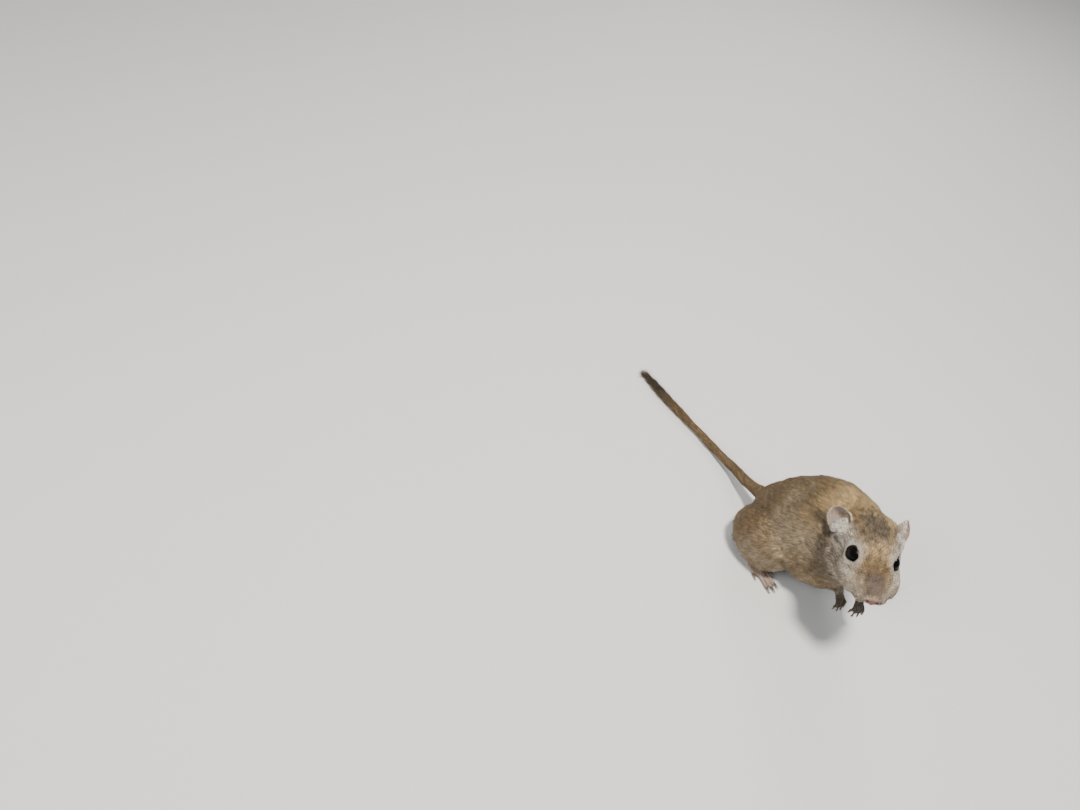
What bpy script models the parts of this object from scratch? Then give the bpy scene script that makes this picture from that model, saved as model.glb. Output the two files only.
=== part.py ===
"""Life-size Mongolian gerbil that sits up, with its head turned to its own right.

The body heads along +X, the left side is +Y and the floor is z = 0. The flesh is fused as
one form, thinned and then divided into nodes by curved cuts that leave a narrow gap.
"""
import math

import bmesh
import bpy
import numpy as np
from mathutils import Euler, Matrix, Vector
from mathutils.bvhtree import BVHTree

MM = 0.001
GAP = 0.3                                  # between neighbouring nodes, mm

# Fused flesh
FLESH_VOXEL = 0.55
FLESH_SMOOTHING = 9
BODY_SMOOTHING = 30
HEAD_MESH_RATIO = 0.0440
BODY_MESH_RATIO = 0.0158
CAP_STEPS = (0.35, 0.7, 0.95)              # rings that round the end of a tube, shares of its radius

# Head
HEAD_AT = Vector((29.2, -14.2, 56.05))       # midpoint of the eyes
HEAD_YAW = -49.0
HEAD_PITCH = 9.0
HEAD_ROLL = 5.5

# Eyes, in the frame of the head
EYE_RADIUS = 3.2
EYE_AT = Vector((0.85, 6.8, 0.9))
EYE_GAZE = Vector((0.45, 0.76, 0.47))
LID_ANGLE = 64.0
LID_THICKNESS = 0.8
ORBIT_RADIUS = 4.8
ORBIT_DEPTH = 2.1
ORBIT_SHIFT = Vector((-1.1, 0.3, -1.0))

# Ears, in the frame of the head
EAR_AT = {"left": Vector((-10.5, 11.4, 1.5)), "right": Vector((-10.2, -10.6, 2.5))}
EAR_AXIS = {"left": Vector((-0.74, 0.40, 0.54)), "right": Vector((-0.71, -0.64, 0.29))}
EAR_FACING = {"left": Vector((0.62, 0.74, 0.25)), "right": Vector((0.70, -0.62, 0.35))}
EAR_HEIGHT = 11.4
EAR_WIDTH = 10.8
EAR_THICKNESS = 1.0
EAR_CUP = 3.3
EAR_LOBE = 2.4
EAR_TUFT_AT = {"left": Vector((1.1, 0.2, -0.2)), "right": Vector((0.5, -1.3, 0.4))}
EAR_TUFT_RADII = (2.3, 2.4, 5.0)

# Feet
HIND_SOLE = 19.0
HIND_TOE = 8.0
HIND_AT = Vector((-17.0, 17.5, 0.0))
HIND_TURN = 8.0
PAW_AT = {"left": Vector((37.4, -5.4, 20.6)), "right": Vector((30.8, -10.9, 20.6))}
PAW_TURN = {"left": -42.0, "right": -16.0}
PAW_DROOP = 38.0

# Tail
TAIL_PATH = [
    (-16.0, 0.0, 18.5), (-23.5, 0.2, 16.0), (-33.0, 2.4, 10.9), (-44.5, 5.8, 6.0),
    (-57.0, 7.6, 3.2), (-72.0, 8.0, 2.45), (-90.0, 8.0, 2.1), (-104.0, 8.3, 1.7), (-115.0, 8.9, 1.3),
]
TAIL_RADII = [4.6, 4.2, 3.4, 3.0, 2.8, 2.6, 2.2, 1.75, 1.25]
TAIL_CUTS = (0.36, 0.72)

# Tuft at the end of the tail
TUFT_ROWS = 5
TUFT_LOCKS = 5
TUFT_FROM = 0.80
LOCK_LENGTH = 10.5
LOCK_WIDTH = 3.3
LOCK_THICKNESS = 0.95
LOCK_SPREAD = 1.15


def new_object(name, mesh):
    """Link a mesh to the scene as a named object."""
    obj = bpy.data.objects.new(name, mesh)
    bpy.context.scene.collection.objects.link(obj)
    return obj


def mesh_from(name, points, faces):
    """Mesh object from points in millimetres and lists of corners."""
    mesh = bpy.data.meshes.new(name)
    mesh.from_pydata([Vector(p) * MM for p in points], [], faces)
    mesh.update()
    bm = bmesh.new()
    bm.from_mesh(mesh)
    bmesh.ops.recalc_face_normals(bm, faces=bm.faces)
    bm.to_mesh(mesh)
    bm.free()
    return new_object(name, mesh)


def loft(name, rings):
    """Closed skin through rings of equal count, each end closed by a fan to its centre."""
    count = len(rings[0])
    points = [Vector(p) for ring in rings for p in ring]
    faces = []
    for i in range(len(rings) - 1):
        for j in range(count):
            k = (j + 1) % count
            faces.append((i * count + j, i * count + k, (i + 1) * count + k, (i + 1) * count + j))
    for ring_index in (0, len(rings) - 1):
        start = ring_index * count
        centre = sum((points[start + j] for j in range(count)), Vector()) / count
        points.append(centre)
        for j in range(count):
            faces.append((start + j, start + (j + 1) % count, len(points) - 1))
    return mesh_from(name, points, faces)


def section(centre, half_width, rise, drop, side=Vector((0, 1, 0)), up=Vector((0, 0, 1)),
            power=2.0, count=32):
    """Ring of an egg-shaped section with its own rise above and drop below the centre."""
    centre = Vector(centre)
    ring = []
    for i in range(count):
        angle = 2.0 * math.pi * i / count
        c, s = math.cos(angle), math.sin(angle)
        y = math.copysign(abs(c) ** (2.0 / power), c) * half_width
        z = math.copysign(abs(s) ** (2.0 / power), s) * (rise if s > 0 else drop)
        ring.append(centre + side * y + up * z)
    return ring


def spline(points, values, steps):
    """Smooth path through points, with values carried along it (Catmull-Rom)."""
    points = [Vector(p) for p in points]
    out_points, out_values = [], []
    last = len(points) - 1
    for i in range(last):
        p0, p1, p2, p3 = (points[max(i - 1, 0)], points[i], points[i + 1], points[min(i + 2, last)])
        v0, v1, v2, v3 = (values[max(i - 1, 0)], values[i], values[i + 1], values[min(i + 2, last)])
        for k in range(steps):
            t = k / steps
            a, b, c, d = spline_weights(t)
            out_points.append(p0 * a + p1 * b + p2 * c + p3 * d)
            out_values.append(v0 * a + v1 * b + v2 * c + v3 * d)
    out_points.append(points[-1])
    out_values.append(values[-1])
    return out_points, out_values


def spline_weights(t):
    """Weights of the four points of a Catmull-Rom piece at t."""
    return (
        -0.5 * t + t * t - 0.5 * t ** 3,
        1.0 - 2.5 * t * t + 1.5 * t ** 3,
        0.5 * t + 2.0 * t * t - 1.5 * t ** 3,
        -0.5 * t * t + 0.5 * t ** 3,
    )


def tube(name, points, radii, count=20, steps=4, squash=1.0):
    """Round tube along a smooth path, with its ends rounded over."""
    path, sizes = spline(points, radii, steps)
    rings = []
    tangents = []
    for i, p in enumerate(path):
        a = path[max(i - 1, 0)]
        b = path[min(i + 1, len(path) - 1)]
        tangents.append((b - a).normalized())
    caps = []
    for end, way in ((0, -1), (-1, 1)):
        out = tangents[end] * way * sizes[end]
        caps.append([(path[end] + out * k, sizes[end] * math.sqrt(1.0 - k * k), tangents[end])
                     for k in CAP_STEPS])
    stations = caps[0][::-1] + list(zip(path, sizes, tangents)) + caps[1]
    for p, r, t in stations:
        side = Vector((0, 0, 1)).cross(t)
        side = side.normalized() if side.length > 1e-3 else Vector((0, 1, 0))
        up = t.cross(side).normalized()
        rings.append(section(p, r, r * squash, r * squash, side, up, 2.0, count))
    return loft(name, rings)


def ball(name, centre, radii, turn=None, segments=32):
    """Ellipsoid in millimetres, turned by a rotation matrix."""
    bm = bmesh.new()
    bmesh.ops.create_uvsphere(bm, u_segments=segments, v_segments=segments // 2, radius=1.0)
    turn = turn.to_4x4() if turn else Matrix.Identity(4)
    size = Matrix.Diagonal((*[r * MM for r in radii], 1.0))
    bmesh.ops.transform(bm, verts=bm.verts, matrix=Matrix.Translation(Vector(centre) * MM) @ turn @ size)
    mesh = bpy.data.meshes.new(name)
    bm.to_mesh(mesh)
    bm.free()
    return new_object(name, mesh)


def block(name, low, high):
    """Box between two corners in millimetres."""
    bm = bmesh.new()
    bmesh.ops.create_cube(bm, size=1.0)
    low, high = Vector(low) * MM, Vector(high) * MM
    size = Matrix.Diagonal((*(high - low), 1.0))
    bmesh.ops.transform(bm, verts=bm.verts, matrix=Matrix.Translation((low + high) / 2) @ size)
    mesh = bpy.data.meshes.new(name)
    bm.to_mesh(mesh)
    bm.free()
    return new_object(name, mesh)


def drop(*objects):
    """Take objects out of the scene."""
    for obj in objects:
        bpy.data.objects.remove(obj, do_unlink=True)


def copy_of(obj, name):
    """Copy an object and its mesh."""
    twin = new_object(name, obj.data.copy())
    twin.matrix_world = obj.matrix_world.copy()
    return twin


def bake(obj):
    """Replace an object's mesh by the one its modifiers give."""
    graph = bpy.context.evaluated_depsgraph_get()
    mesh = bpy.data.meshes.new_from_object(obj.evaluated_get(graph))
    obj.modifiers.clear()
    obj.data = mesh
    return obj


def joined(name, objects):
    """One object from several, without any Boolean."""
    bm = bmesh.new()
    for obj in objects:
        bm.from_mesh(obj.data)
    mesh = bpy.data.meshes.new(name)
    bm.to_mesh(mesh)
    bm.free()
    drop(*objects)
    return new_object(name, mesh)


def fused(name, objects, voxel, smoothing):
    """Closed forms fused into one skin of even mesh, then smoothed."""
    obj = joined(name, objects)
    remesh = obj.modifiers.new("fuse", "REMESH")
    remesh.mode = "VOXEL"
    remesh.voxel_size = voxel * MM
    if smoothing:
        smooth = obj.modifiers.new("soften", "SMOOTH")
        smooth.factor = 0.5
        smooth.iterations = smoothing
    return bake(obj)


def thinned(obj, ratio):
    """Fewer triangles, most of them kept where the form bends."""
    decimate = obj.modifiers.new("thin", "DECIMATE")
    decimate.ratio = ratio
    return bake(obj)


def swelled(obj, amount):
    """Skin moved outward by an amount in millimetres."""
    displace = obj.modifiers.new("swell", "DISPLACE")
    displace.mid_level = 0.0
    displace.strength = amount * MM
    return bake(obj)


def combine(obj, other, operation, keep_other=False):
    """Boolean of two closed objects; the second one is removed unless kept."""
    boolean = obj.modifiers.new("combine", "BOOLEAN")
    boolean.operation = operation
    boolean.solver = "MANIFOLD"
    boolean.object = other
    bake(obj)
    if not keep_other:
        drop(other)
    return largest(obj)


def largest(obj):
    """Keep only the largest closed surface of an object."""
    bm = bmesh.new()
    bm.from_mesh(obj.data)
    bm.verts.ensure_lookup_table()
    seen = set()
    shells = []
    for vert in bm.verts:
        if vert.index in seen:
            continue
        stack, shell = [vert], []
        seen.add(vert.index)
        while stack:
            here = stack.pop()
            shell.append(here)
            for edge in here.link_edges:
                other = edge.other_vert(here)
                if other.index not in seen:
                    seen.add(other.index)
                    stack.append(other)
        shells.append(shell)
    if len(shells) > 1:
        shells.sort(key=len)
        bmesh.ops.delete(bm, geom=[v for shell in shells[:-1] for v in shell], context="VERTS")
        bm.to_mesh(obj.data)
        obj.data.update()
    bm.free()
    return obj


def head_matrix():
    """Place of the head's frame in the body's, in millimetres."""
    turn = (
        Matrix.Rotation(math.radians(HEAD_YAW), 4, "Z")
        @ Matrix.Rotation(math.radians(-HEAD_PITCH), 4, "Y")
        @ Matrix.Rotation(math.radians(HEAD_ROLL), 4, "X")
    )
    return Matrix.Translation(HEAD_AT) @ turn


def mirrored(vector, side):
    """Vector of the left side, or its mirror for the right."""
    v = Vector(vector)
    return v if side == "left" else Vector((v.x, -v.y, v.z))


def in_head(point):
    """Point of the head's frame, in the body's."""
    return head_matrix() @ Vector(point)


def head_ball(name, centre, radii, turn=None):
    """Ellipsoid given in the frame of the head."""
    frame = head_matrix().to_3x3()
    return ball(name, in_head(centre), radii, frame @ turn if turn else frame)


def torso_forms():
    """Barrel of the body with its chest, rump and haunches."""
    #        x      y     z    half-width  rise  drop
    stations = (
        (-26.8, 0.0, 17.5, 2.5, 3.0, 3.5),
        (-25.4, 0.0, 18.0, 6.5, 6.8, 8.5),
        (-20.8, 0.0, 20.5, 12.8, 13.6, 15.5),
        (-14.5, 0.0, 23.5, 17.0, 20.2, 20.0),
        (-8.0, 0.0, 26.0, 19.4, 24.8, 22.5),
        (-1.0, 0.0, 29.0, 20.2, 27.2, 25.5),
        (6.0, 0.2, 33.0, 19.0, 24.8, 27.5),
        (12.0, 0.2, 38.0, 17.2, 20.2, 27.5),
        (17.5, -0.8, 43.0, 14.8, 16.0, 25.5),
        (22.0, -3.2, 47.0, 12.6, 13.0, 21.0),
        (25.5, -5.0, 49.0, 8.5, 9.0, 13.0),
    )
    forms = [loft("barrel", sections_along(stations))]
    forms.append(ball("chest", (12.0, -2.5, 20.0), (13.5, 16.5, 17.0)))
    forms.append(ball("breast", (18.5, -5.5, 25.5), (10.5, 13.0, 16.5)))
    forms.append(ball("collar", (16.0, -10.2, 41.0), (11.0, 10.0, 13.5)))
    forms.append(ball("bib", (21.0, -10.5, 35.0), (9.5, 9.5, 13.0)))
    for side in (1, -1):
        lean = Euler((math.radians(-8 * side), math.radians(10), 0)).to_matrix()
        forms.append(ball("haunch", (-8.0, 17.4 * side, 14.5), (16.6, 9.8, 15.2), lean))
        forms.append(ball("rump", (-15.5, 12.0 * side, 12.0), (10.5, 10.0, 12.0)))
    return forms


def sections_along(stations, steps=4):
    """Rings of the barrel, its measures eased from station to station."""
    places = [Vector(row[:3]) for row in stations]
    eased = [spline(places, [row[k] for row in stations], steps) for k in (3, 4, 5)]
    rings = []
    for i, place in enumerate(eased[0][0]):
        rings.append(section(place, eased[0][1][i], eased[1][1][i], eased[2][1][i], power=2.1))
    return rings


def head_forms():
    """Skull, cheeks, whisker pads, chin and nose, and the neck behind them."""
    frame = head_matrix().to_3x3()
    side, up = frame @ Vector((0, 1, 0)), frame @ Vector((0, 0, 1))
    #        x     z    half-width  rise  drop
    stations = (
        (-17.0, -1.0, 8.5, 7.0, 8.0),
        (-11.0, -1.5, 12.4, 10.3, 11.0),
        (-5.0, -2.0, 11.6, 10.6, 11.0),
        (0.0, -2.0, 9.5, 9.7, 11.0),
        (4.0, -2.5, 8.4, 8.6, 10.0),
        (8.0, -3.5, 7.4, 7.5, 8.6),
        (12.0, -4.6, 6.3, 5.8, 5.6),
        (15.0, -5.2, 4.7, 4.0, 3.7),
        (17.2, -5.4, 3.2, 2.6, 2.6),
        (18.3, -5.4, 1.7, 1.3, 1.5),
    )
    places = [Vector((x, 0, z)) for x, z, w, rise, low in stations]
    eased = [spline(places, [row[k] for row in stations], 4) for k in (2, 3, 4)]
    rings = []
    for i, place in enumerate(eased[0][0]):
        half_width, rise, low = (values[1][i] for values in eased)
        rings.append(section(in_head(place), half_width, rise, low, side, up, 2.0))
    forms = [loft("skull", rings)]
    for s in (1, -1):
        forms.append(head_ball("cheek", (1.0, 6.1 * s, -6.4), (12.3, 6.5, 6.4)))
        forms.append(head_ball("pad", (10.6, 3.4 * s, -6.7), (6.4, 3.8, 3.9)))
        forms.append(head_ball("brow", (-0.8, 4.4 * s, 2.3), (5.6, 4.1, 4.1)))
        side_name = "left" if s > 0 else "right"
        orbit = mirrored(EYE_AT, side_name) - mirrored(EYE_GAZE, side_name).normalized() * ORBIT_DEPTH
        orbit += mirrored(ORBIT_SHIFT, side_name)
        forms.append(head_ball("orbit", orbit, (ORBIT_RADIUS, ORBIT_RADIUS, ORBIT_RADIUS)))
    forms.append(head_ball("chin", (6.8, 0.0, -10.0), (5.6, 3.6, 3.0)))
    forms.append(head_ball("nape", (-14.5, 0.5, -2.5), (11.0, 12.5, 11.5)))
    forms.append(head_ball("throat", (-6.0, -0.5, -12.0), (11.0, 11.0, 8.5)))
    for s in (1, -1):
        forms.append(head_ball("jowl", (-9.0, 8.0 * s, -7.0), (7.5, 6.5, 8.0)))
    for side_name in ("left", "right"):
        lean = Euler((0, math.radians(-40), 0)).to_matrix()
        tuft_at = EAR_AT[side_name] + EAR_TUFT_AT[side_name]
        forms.append(head_ball("ear tuft", tuft_at, EAR_TUFT_RADII, lean))
    return forms


def flesh():
    """Whole body as one dense skin, smoothed least at the face."""
    whole = fused("flesh", torso_forms() + head_forms(), FLESH_VOXEL, FLESH_SMOOTHING)
    inverse = head_matrix().inverted()
    group = whole.vertex_groups.new(name="body")
    for vert in whole.data.vertices:
        local = inverse @ (vert.co / MM)
        weight = min(1.0, max(0.0, (-local.x - 4.0) / 9.0))
        if weight > 0.0:
            group.add([vert.index], weight, "REPLACE")
    smooth = whole.modifiers.new("soften body", "SMOOTH")
    smooth.factor = 0.5
    smooth.iterations = BODY_SMOOTHING
    smooth.vertex_group = "body"
    return bake(whole)


def hind_place(side):
    """Frame of a hind foot, at its heel on the floor."""
    turn = HIND_TURN if side == "left" else -HIND_TURN
    return Matrix.Translation(mirrored(HIND_AT, side)) @ Matrix.Rotation(math.radians(turn), 4, "Z")


def hind_foot(side):
    """Long hind foot flat on the floor, with five toes and their claws."""
    place = hind_place(side)
    stations = (
        (0.0, 1.6, 3.0), (2.0, 2.5, 4.6), (7.0, 2.5, 4.4),
        (13.0, 3.0, 3.8), (18.0, 3.6, 3.2), (HIND_SOLE + 1.5, 3.2, 2.6),
    )
    rings = []
    for x, half, height in stations:
        tall = height / 2 + 0.4
        rings.append(section(place @ Vector((x, 0, height / 2 - 0.4)), half, tall, tall,
                             place.to_3x3() @ Vector((0, 1, 0)), Vector((0, 0, 1)), 2.4, 20))
    forms = [loft("sole", rings)]
    claws = []
    toes = (
        (-2.9, -14.0, 0.62, 13.5), (-1.7, -5.0, 0.95, 18.5), (0.0, 0.0, 1.0, 19.0),
        (1.7, 5.0, 0.95, 18.5), (2.9, 14.0, 0.62, 14.5),
    )
    for y, angle, length, start in toes:
        aim = Vector((math.cos(math.radians(angle)), math.sin(math.radians(angle)), 0))
        root = Vector((start, y, 1.5))
        reach = HIND_TOE * length
        knuckle = root + aim * reach * 0.5 + Vector((0, 0, 0.35))
        path = [root, knuckle, root + aim * reach + Vector((0, 0, -0.35))]
        forms.append(tube("toe", [place @ p for p in path], [1.25, 1.0, 0.95], 12, 3))
        tip = path[-1]
        hook = [tip, tip + aim * 1.3 + Vector((0, 0, 0.45)), tip + aim * 2.6 + Vector((0, 0, -0.3))]
        claws.append(tube("claw", [place @ p for p in hook], [0.5, 0.42, 0.14], 6, 1))
    return finished_foot("hind_foot_" + side, forms, claws, 0.021, True)


def paw_place(side):
    """Frame of a forepaw, held before the breast with its digits drooping."""
    return (
        Matrix.Translation(PAW_AT[side])
        @ Matrix.Rotation(math.radians(PAW_TURN[side]), 4, "Z")
        @ Matrix.Rotation(math.radians(PAW_DROOP), 4, "Y")
    )


def palm_shape(side, grow):
    """Palm of a forepaw, grown by an amount."""
    palm = [paw_place(side) @ Vector(p) for p in ((-4.4, 0, 0.3), (-1.8, 0, 0.2), (1.2, 0, 0.0))]
    return tube("palm", palm, [r + grow for r in (1.9, 2.2, 2.3)], 16, 3, 0.78)


def forepaw(side):
    """Small forepaw with four curled digits and their claws."""
    place = paw_place(side)
    forms = [palm_shape(side, 0.0)]
    claws = []
    for y, angle, length in ((-1.8, -16.0, 0.8), (-0.6, -5.0, 1.0), (0.6, 5.0, 1.0), (1.8, 16.0, 0.8)):
        aim = Vector((math.cos(math.radians(angle)), math.sin(math.radians(angle)), 0))
        root = Vector((1.2, y, 0.1))
        reach = 4.2 * length
        knuckle = root + aim * reach * 0.55 + Vector((0, 0, -0.1))
        path = [root, knuckle, root + aim * reach * 0.95 + Vector((0, 0, -1.1))]
        forms.append(tube("digit", [place @ p for p in path], [1.0, 0.85, 0.75], 12, 3))
        tip = path[-1]
        hook = [tip, tip + aim * 1.0 + Vector((0, 0, -0.8)), tip + aim * 1.5 + Vector((0, 0, -2.0))]
        claws.append(tube("claw", [place @ p for p in hook], [0.42, 0.36, 0.13], 6, 1))
    return finished_foot("forepaw_" + side, forms, claws, 0.036, False)


def finished_foot(name, forms, claws, ratio, on_floor):
    """Fuse the flesh of a foot, add its claws and trim the sole that stands on the floor."""
    foot = thinned(fused(name, forms, 0.26, 3), ratio)
    for claw in claws:
        combine(foot, claw, "UNION")
    if on_floor:
        combine(foot, block("floor trim", (-200, -100, 0), (200, 100, 100)), "INTERSECT")
    return foot


def foreleg_shape(side, grow):
    """Forearm from the elbow inside the chest to the wrist."""
    sign = 1 if side == "left" else -1
    wrist = paw_place(side) @ Vector((-4.6, 0, 0.3))
    elbow = Vector((15.5, 8.0 * sign - 2.5, 19.0))
    middle = (wrist + elbow) / 2 + Vector((0, 1.0 * sign, -1.0))
    return tube("foreleg", [elbow, middle, wrist], [5.2 + grow, 4.2 + grow, 2.5 + grow], 14, 2)


def ear(side):
    """Cupped ear: a rounded dish with a thick rim, its front edge folded over the hollow."""
    axis = EAR_AXIS[side].normalized()
    facing = EAR_FACING[side]
    facing = (facing - axis * facing.dot(axis)).normalized()
    across = axis.cross(facing).normalized()
    if across.x < 0:
        across = -across
    centre = EAR_AT[side] + axis * (EAR_HEIGHT / 2 - 2.2)
    count = 24

    def dish(angle, reach, lift, lobe=1.0):
        u, v = math.cos(angle) * reach, math.sin(angle) * reach
        narrow = 1.0 - 0.5 * max(0.0, -v - 0.15) ** 0.8
        inside = max(0.0, 1.0 - reach * reach)
        cup = -EAR_CUP * inside ** 0.75 * (1.0 - 0.3 * u) * (1.0 - 0.15 * v)
        near_lobe = math.exp(-((u - 0.45) / 0.33) ** 2 - ((v + 0.2) / 0.5) ** 2)
        swell = lobe * EAR_LOBE * near_lobe * min(1.0, inside * 2.0)
        fold = 2.0 * max(0.0, u) ** 2 * max(0.0, 0.9 - 0.7 * v)
        flare = 0.5 * max(0.0, -u) * reach - 1.0 * v * v
        inward = -1.5 * max(0.0, u) ** 3 * max(0.0, 0.8 - 0.6 * v)
        p = centre + across * (u * EAR_WIDTH / 2 * narrow + inward) + axis * v * EAR_HEIGHT / 2
        return in_head(p + facing * (cup + swell + fold + flare + lift))

    def ring(reach, lift, lobe=1.0):
        return [dish(2 * math.pi * i / count, reach, lift, lobe) for i in range(count)]

    rings = [ring(reach, 0.0) for reach in (0.14, 0.32, 0.5, 0.68, 0.84, 0.94)]
    rings += [ring(reach, lift) for reach, lift in ((1.0, -0.12), (1.03, -0.46), (1.0, -0.84))]
    rings += [ring(reach, -EAR_THICKNESS, 0.0) for reach in (0.86, 0.56, 0.24)]
    return loft("ear_" + side, rings)


def lid_cup(side):
    """Lids: a shell round the ball of the eye, open in front."""
    gaze = head_matrix().to_3x3() @ mirrored(EYE_GAZE, side).normalized()
    centre = in_head(mirrored(EYE_AT, side))
    reach = EYE_RADIUS + LID_THICKNESS
    cup = ball("lids", centre, [reach] * 3, None, 22)
    front = block("front", (0, -10, -10), (10, 10, 10))
    edge = centre + gaze * reach * math.cos(math.radians(LID_ANGLE))
    turn = gaze.to_track_quat("X", "Z").to_matrix().to_4x4()
    front.data.transform(Matrix.Translation(edge * MM) @ turn)
    return combine(cup, front, "DIFFERENCE")


def on_skin(tree, start, aim):
    """Point of the head's skin met from outside, both given in the head's frame."""
    origin = in_head(start) * MM
    direction = head_matrix().to_3x3() @ Vector(aim)
    hit = tree.ray_cast(origin, direction.normalized())[0]
    return hit / MM


def face_cutters(head):
    """Grooves of the mouth, the cleft of the lip and the two nostrils."""
    bm = bmesh.new()
    bm.from_mesh(head.data)
    tree = BVHTree.FromBMesh(bm)
    bm.free()
    cutters = []
    frame = head_matrix().to_3x3()
    mouth = []
    for y, x, z in ((-4.4, 9.0, -10.6), (-3.4, 10.9, -10.1), (-1.8, 12.5, -9.8), (0.0, 13.1, -9.6),
                    (1.8, 12.5, -9.8), (3.4, 10.9, -10.1), (4.4, 9.0, -10.6)):
        aim = Vector((-0.5, -y * 0.08, 0.8)).normalized()
        start = Vector((x, y, z)) - aim * 12.0
        mouth.append(on_skin(tree, start, aim))
    cutters.append(tube("mouth", mouth, [0.1, 0.26, 0.32, 0.34, 0.32, 0.26, 0.1], 8, 4))
    cleft = [on_skin(tree, Vector((26, 0, z)), Vector((-1, 0, 0))) for z in (-6.6, -7.4, -8.6)]
    cutters.append(tube("cleft", cleft, [0.26, 0.3, 0.34], 8, 3))
    for s in (1, -1):
        aim = Vector((-0.8, -0.62 * s, 0.05)).normalized()
        spot = on_skin(tree, Vector((17.0, 1.35 * s, -5.4)) - aim * 8, aim)
        deep = frame @ aim
        back = frame @ Vector((-0.35, 0.75 * s, 0.55)).normalized()
        path = [spot + back * 1.0 + deep * 0.05, spot - deep * 0.1, spot + deep * 0.9]
        cutters.append(tube("nostril", path, [0.22, 0.5, 0.4], 10, 3))
    return cutters


def tail_lengths():
    """Tail laid down to the floor and cut into three lengths."""
    path, radii = spline(TAIL_PATH, TAIL_RADII, 3)
    whole = tube("tail", TAIL_PATH, TAIL_RADII, 16, 3)
    whole = combine(whole, block("floor trim", (-300, -100, 0), (300, 100, 100)), "INTERSECT")
    count = len(path) - 1
    names = ["tail_root", "tail_middle", "tail_tip"]
    pieces = []
    limits = [None] + [int(count * c) for c in TAIL_CUTS] + [None]
    for k in range(3):
        piece = copy_of(whole, names[k])
        if limits[k] is not None:
            combine(piece, half_space(path, limits[k], 1, GAP / 2), "DIFFERENCE")
        if limits[k + 1] is not None:
            combine(piece, half_space(path, limits[k + 1], -1, GAP / 2), "DIFFERENCE")
        pieces.append(piece)
    drop(whole)
    tufted(pieces[-1], path, radii)
    return pieces


def tuft_lock(place, along, out, root_radius, reach, width, drift):
    """One flat, tapered lock of hair: it leaves the tail low and bends back to lie along it."""
    beside = along.cross(out).normalized()
    path, halves, thick = [], [], []
    steps = (
        (0.0, -0.6, 0.6, 0.9), (0.35, 0.45, 1.0, 1.0), (0.72, 1.0, 0.7, 0.75), (1.0, 0.9, 0.1, 0.2),
    )
    for t, rise, w, h in steps:
        p = place + along * reach * t + out * (root_radius + rise * LOCK_SPREAD) + beside * drift * t * t
        half_height = h * LOCK_THICKNESS / 2
        p.z = max(p.z, half_height * 1.15 + 0.1)
        path.append(p)
        halves.append(w * width / 2)
        thick.append(half_height)
    rings = []
    for p, half, half_height in zip(path, halves, thick):
        rings.append(section(p, half, half_height, half_height, beside, out, 2.0, 4))
    return loft("lock", rings)


def tufted(tail, path, radii):
    """Fuse the locks of the tuft with the last length of the tail."""
    draw = np.random.default_rng(5)
    locks = bpy.data.collections.new("locks")
    bpy.context.scene.collection.children.link(locks)
    last = len(path) - 1
    for row in range(TUFT_ROWS):
        share = TUFT_FROM + (0.985 - TUFT_FROM) * row / (TUFT_ROWS - 1)
        i = min(last - 1, int(last * share))
        along = (path[i + 1] - path[i]).normalized()
        place = path[i].lerp(path[i + 1], last * share - i) if share * last - i <= 1 else path[i + 1]
        side = Vector((0, 0, 1)).cross(along).normalized()
        up = along.cross(side).normalized()
        for k in range(TUFT_LOCKS):
            turn = 2 * math.pi * (k + 0.5 * (row % 2)) / TUFT_LOCKS + draw.uniform(-0.15, 0.15)
            out = (side * math.cos(turn) + up * math.sin(turn)).normalized()
            reach = LOCK_LENGTH * (0.8 + 0.2 * row / (TUFT_ROWS - 1)) * draw.uniform(0.9, 1.1)
            width = LOCK_WIDTH * draw.uniform(0.85, 1.1)
            drift = draw.uniform(-0.9, 0.9)
            lock = tuft_lock(place, along, out, radii[i] * 0.8, reach, width, drift)
            bpy.context.scene.collection.objects.unlink(lock)
            locks.objects.link(lock)
    union = tail.modifiers.new("tuft", "BOOLEAN")
    union.operation = "UNION"
    union.operand_type = "COLLECTION"
    union.collection = locks
    union.solver = "MANIFOLD"
    bake(tail)
    drop(*list(locks.objects))
    bpy.data.collections.remove(locks)
    combine(tail, block("floor trim", (-300, -100, 0), (300, 100, 100)), "INTERSECT")


def half_space(path, i, way, gap):
    """Large block on one side of a plane square to the path at a station."""
    tangent = (path[i + 1] - path[i - 1]).normalized()
    turn = tangent.to_track_quat("X", "Z").to_matrix()
    cube = block("half", (0, -30, -30), (60, 30, 30))
    if way > 0:
        turn = turn @ Matrix.Rotation(math.pi, 3, "Z")
    shift = path[i] + tangent * gap * way
    cube.data.transform(Matrix.Translation(shift * MM) @ turn.to_4x4())
    return cube


def colour(obj, name, base, roughness):
    """Give an object one plain material of its own."""
    material = bpy.data.materials.new(name)
    material.use_nodes = True
    shader = material.node_tree.nodes["Principled BSDF"]
    shader.inputs["Base Color"].default_value = (*base, 1.0)
    shader.inputs["Roughness"].default_value = roughness
    obj.data.materials.clear()
    obj.data.materials.append(material)


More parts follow.
